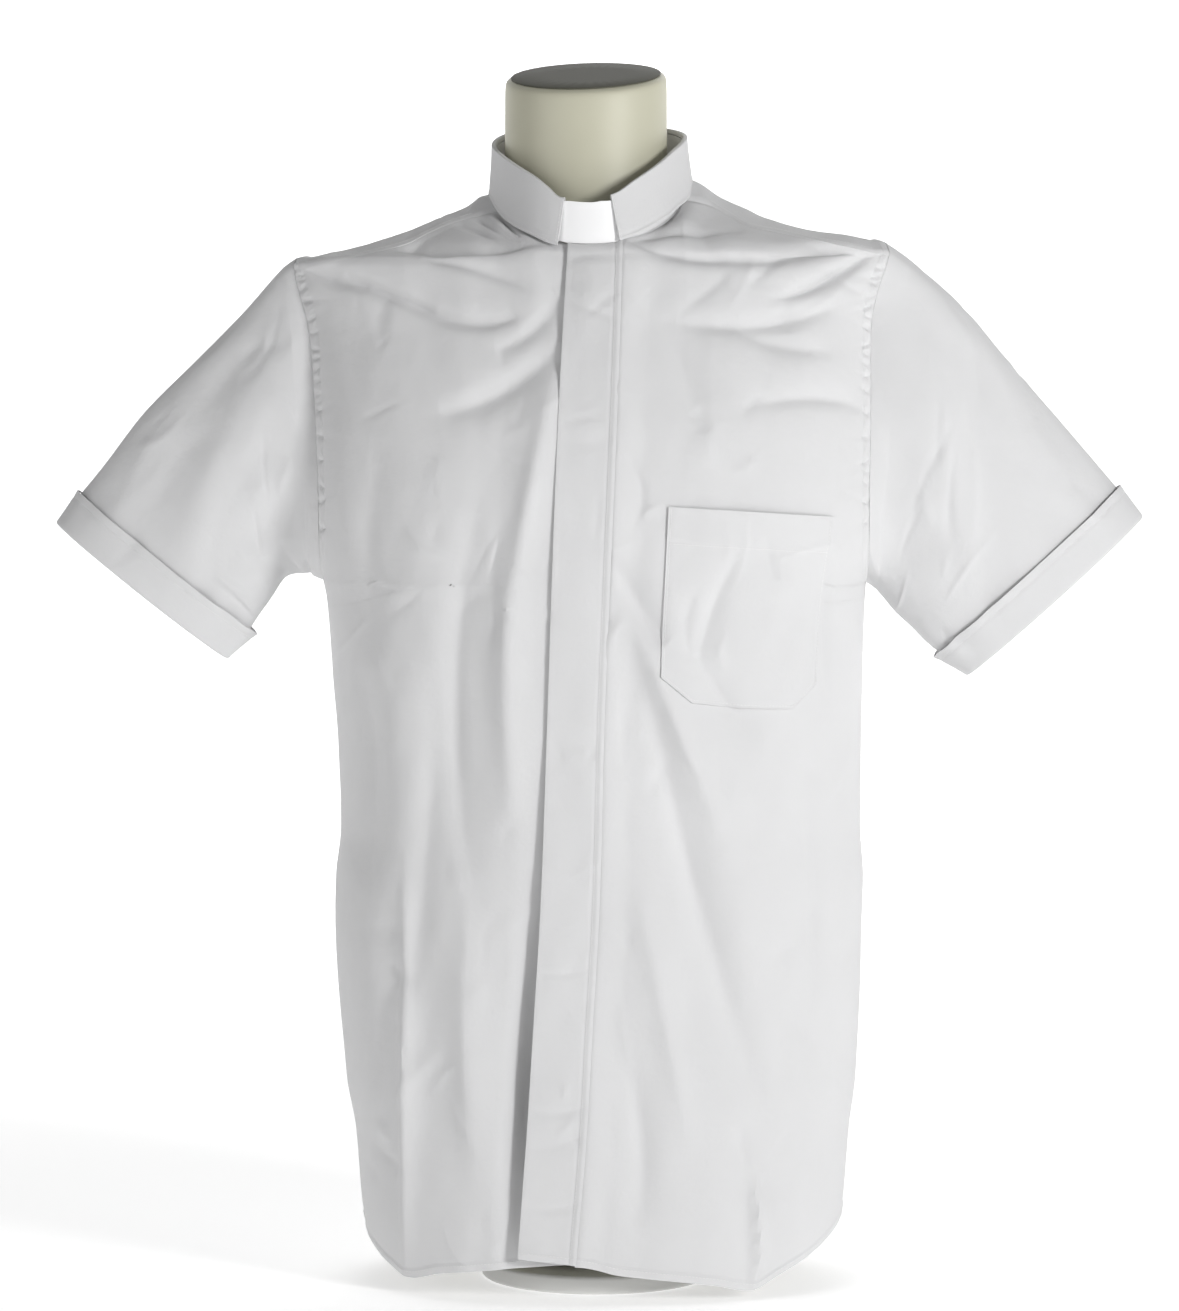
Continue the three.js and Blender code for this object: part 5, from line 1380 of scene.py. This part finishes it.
# %% Where the stitches run
FELL_LINE = FELL - 1.6
HEM_LINE = HEM - 1.4
SIDE_LINE = 1.4
FLY_LINE = 5.0
YOKE_LINE = 5.2
CUFF_EDGE_LINE = 6.0
STAND_LINE = 2.6
FALL_LINE = 1.8
FALL_OUTSIDE = (12, None)    # the rows of the fall that lie outside the stand
UNDER_ARM = 0.66             # share of a front's rows that lie below the underarm
SEWN = {                     # name of the sheet, edge, distance, and from where to where along it
    "right_front_stitches": [("right_front_cloth", "last_column", FELL_LINE, UNDER_ARM, 0.985),
                             ("right_front_cloth", "last_column", SIDE_LINE, 0.02, UNDER_ARM),
                             ("right_front_cloth", "first_row", HEM_LINE)],
    "left_front_stitches": [("left_front_cloth", "last_column", FELL_LINE, UNDER_ARM, 0.985),
                            ("left_front_cloth", "last_column", SIDE_LINE, 0.02, UNDER_ARM),
                            ("left_front_cloth", "first_row", HEM_LINE)],
    "fly_stitches": [("fly_cloth", "last_column", FLY_LINE), ("fly_cloth", "first_row", HEM_LINE)],
    "pocket_stitches": [("pocket_cloth", "first_column", POCKET_LINE),
                        ("pocket_cloth", "last_column", POCKET_LINE),
                        ("pocket_cloth", "last_row", POCKET_LINE),
                        ("pocket_cloth", "first_row", POCKET_HEM)],
    "back_stitches": [("back_cloth", "first_column", FELL_LINE, 0.02, 0.97),
                      ("back_cloth", "last_column", FELL_LINE, 0.02, 0.97),
                      ("back_cloth", "first_row", HEM_LINE)],
    "yoke_stitches": [("yoke_cloth", "last_row", YOKE_LINE),
                      ("yoke_cloth", "first_row", YOKE_LINE, 0.02, 0.26),
                      ("yoke_cloth", "first_row", YOKE_LINE, 0.74, 0.98),
                      ("yoke_cloth", "first_column", FELL_LINE), ("yoke_cloth", "last_column", FELL_LINE)],
    "right_cuff_stitches": [("right_cuff_cloth", "last_row", CUFF_EDGE_LINE)],
    "left_cuff_stitches": [("left_cuff_cloth", "last_row", CUFF_EDGE_LINE)],
    "collar_stitches": [("collar_stand_cloth", "first_row", STAND_LINE),
                        ("collar_fall_cloth", "last_row", FALL_LINE, 0.01, 0.99),
                        ("collar_fall_cloth", "first_column", FALL_LINE, 0.0, 1.0, FALL_OUTSIDE),
                        ("collar_fall_cloth", "last_column", FALL_LINE, 0.0, 1.0, FALL_OUTSIDE)],
}
CENTRES = {                  # what the stitches face away from; None is the stitch's own height
    "yoke_stitches": (0, 0, 650),
    "right_cuff_stitches": tuple(GRIDS["right_cuff_cloth"].mean(axis=(0, 1))),
    "left_cuff_stitches": tuple(GRIDS["left_cuff_cloth"].mean(axis=(0, 1))),
    "collar_stitches": (NECK["x"], 0, None),
}

# %% Sew every piece
thread = form_finish("white_thread", (0.80, 0.80, 0.80), 0.6)
seams = [sew(name, [edge_line(*line) for line in lines], CENTRES.get(name, (0, 0, None)))
         for name, lines in SEWN.items()]

# %% [markdown]
# Nothing here moves, so every piece rides on the one body, and the solid it stands for is hidden.
# The table also lists each sheet's cut size, a tube's all round, and what it rests on, the form or
# the piece beneath it; nothing reads these.


def settle(piece, node):
    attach(piece, "root")
    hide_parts(node)


CLOTHS = [
    (right_front, "right_front", (0.262, 0.800), 0.86, ["dress_form"]),
    (left_front, "left_front", (0.240, 0.805), 0.86, ["dress_form"]),
    (fly, "fly_placket", (0.042, 0.760), 1.0, ["right_front_cloth"]),
    (pocket, "chest_pocket", (0.128, 0.150), 0.95, ["left_front_cloth"]),
    (back, "back", (0.535, 0.745), 0.9, ["dress_form"]),
    (yoke, "yoke", (0.500, 0.215), 0.62, ["dress_form"]),
    (sleeves["left"], "right_sleeve", (0.480, 0.250), 0.75, ["dress_form"]),
    (sleeves["right"], "left_sleeve", (0.480, 0.250), 0.75, ["dress_form"]),
    (cuffs["left"], "right_cuff", (0.380, 0.034), 1.0, ["right_sleeve_cloth"]),
    (cuffs["right"], "left_cuff", (0.380, 0.034), 1.0, ["left_sleeve_cloth"]),
    (stand, "collar_stand", (0.470, 0.040), 1.0, ["yoke_cloth"]),
    (fall, "collar_fall", (0.480, 0.050), 1.0, ["collar_stand_cloth"]),
]
for piece, node, flat, share, under in CLOTHS:
    settle(piece, node)
for seam in seams:
    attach(seam, "root")
settle(tab, "collar_tab")
settle(form, "form_torso")
settle(cap, "form_neck_cap")
settle(foot, "form_foot")
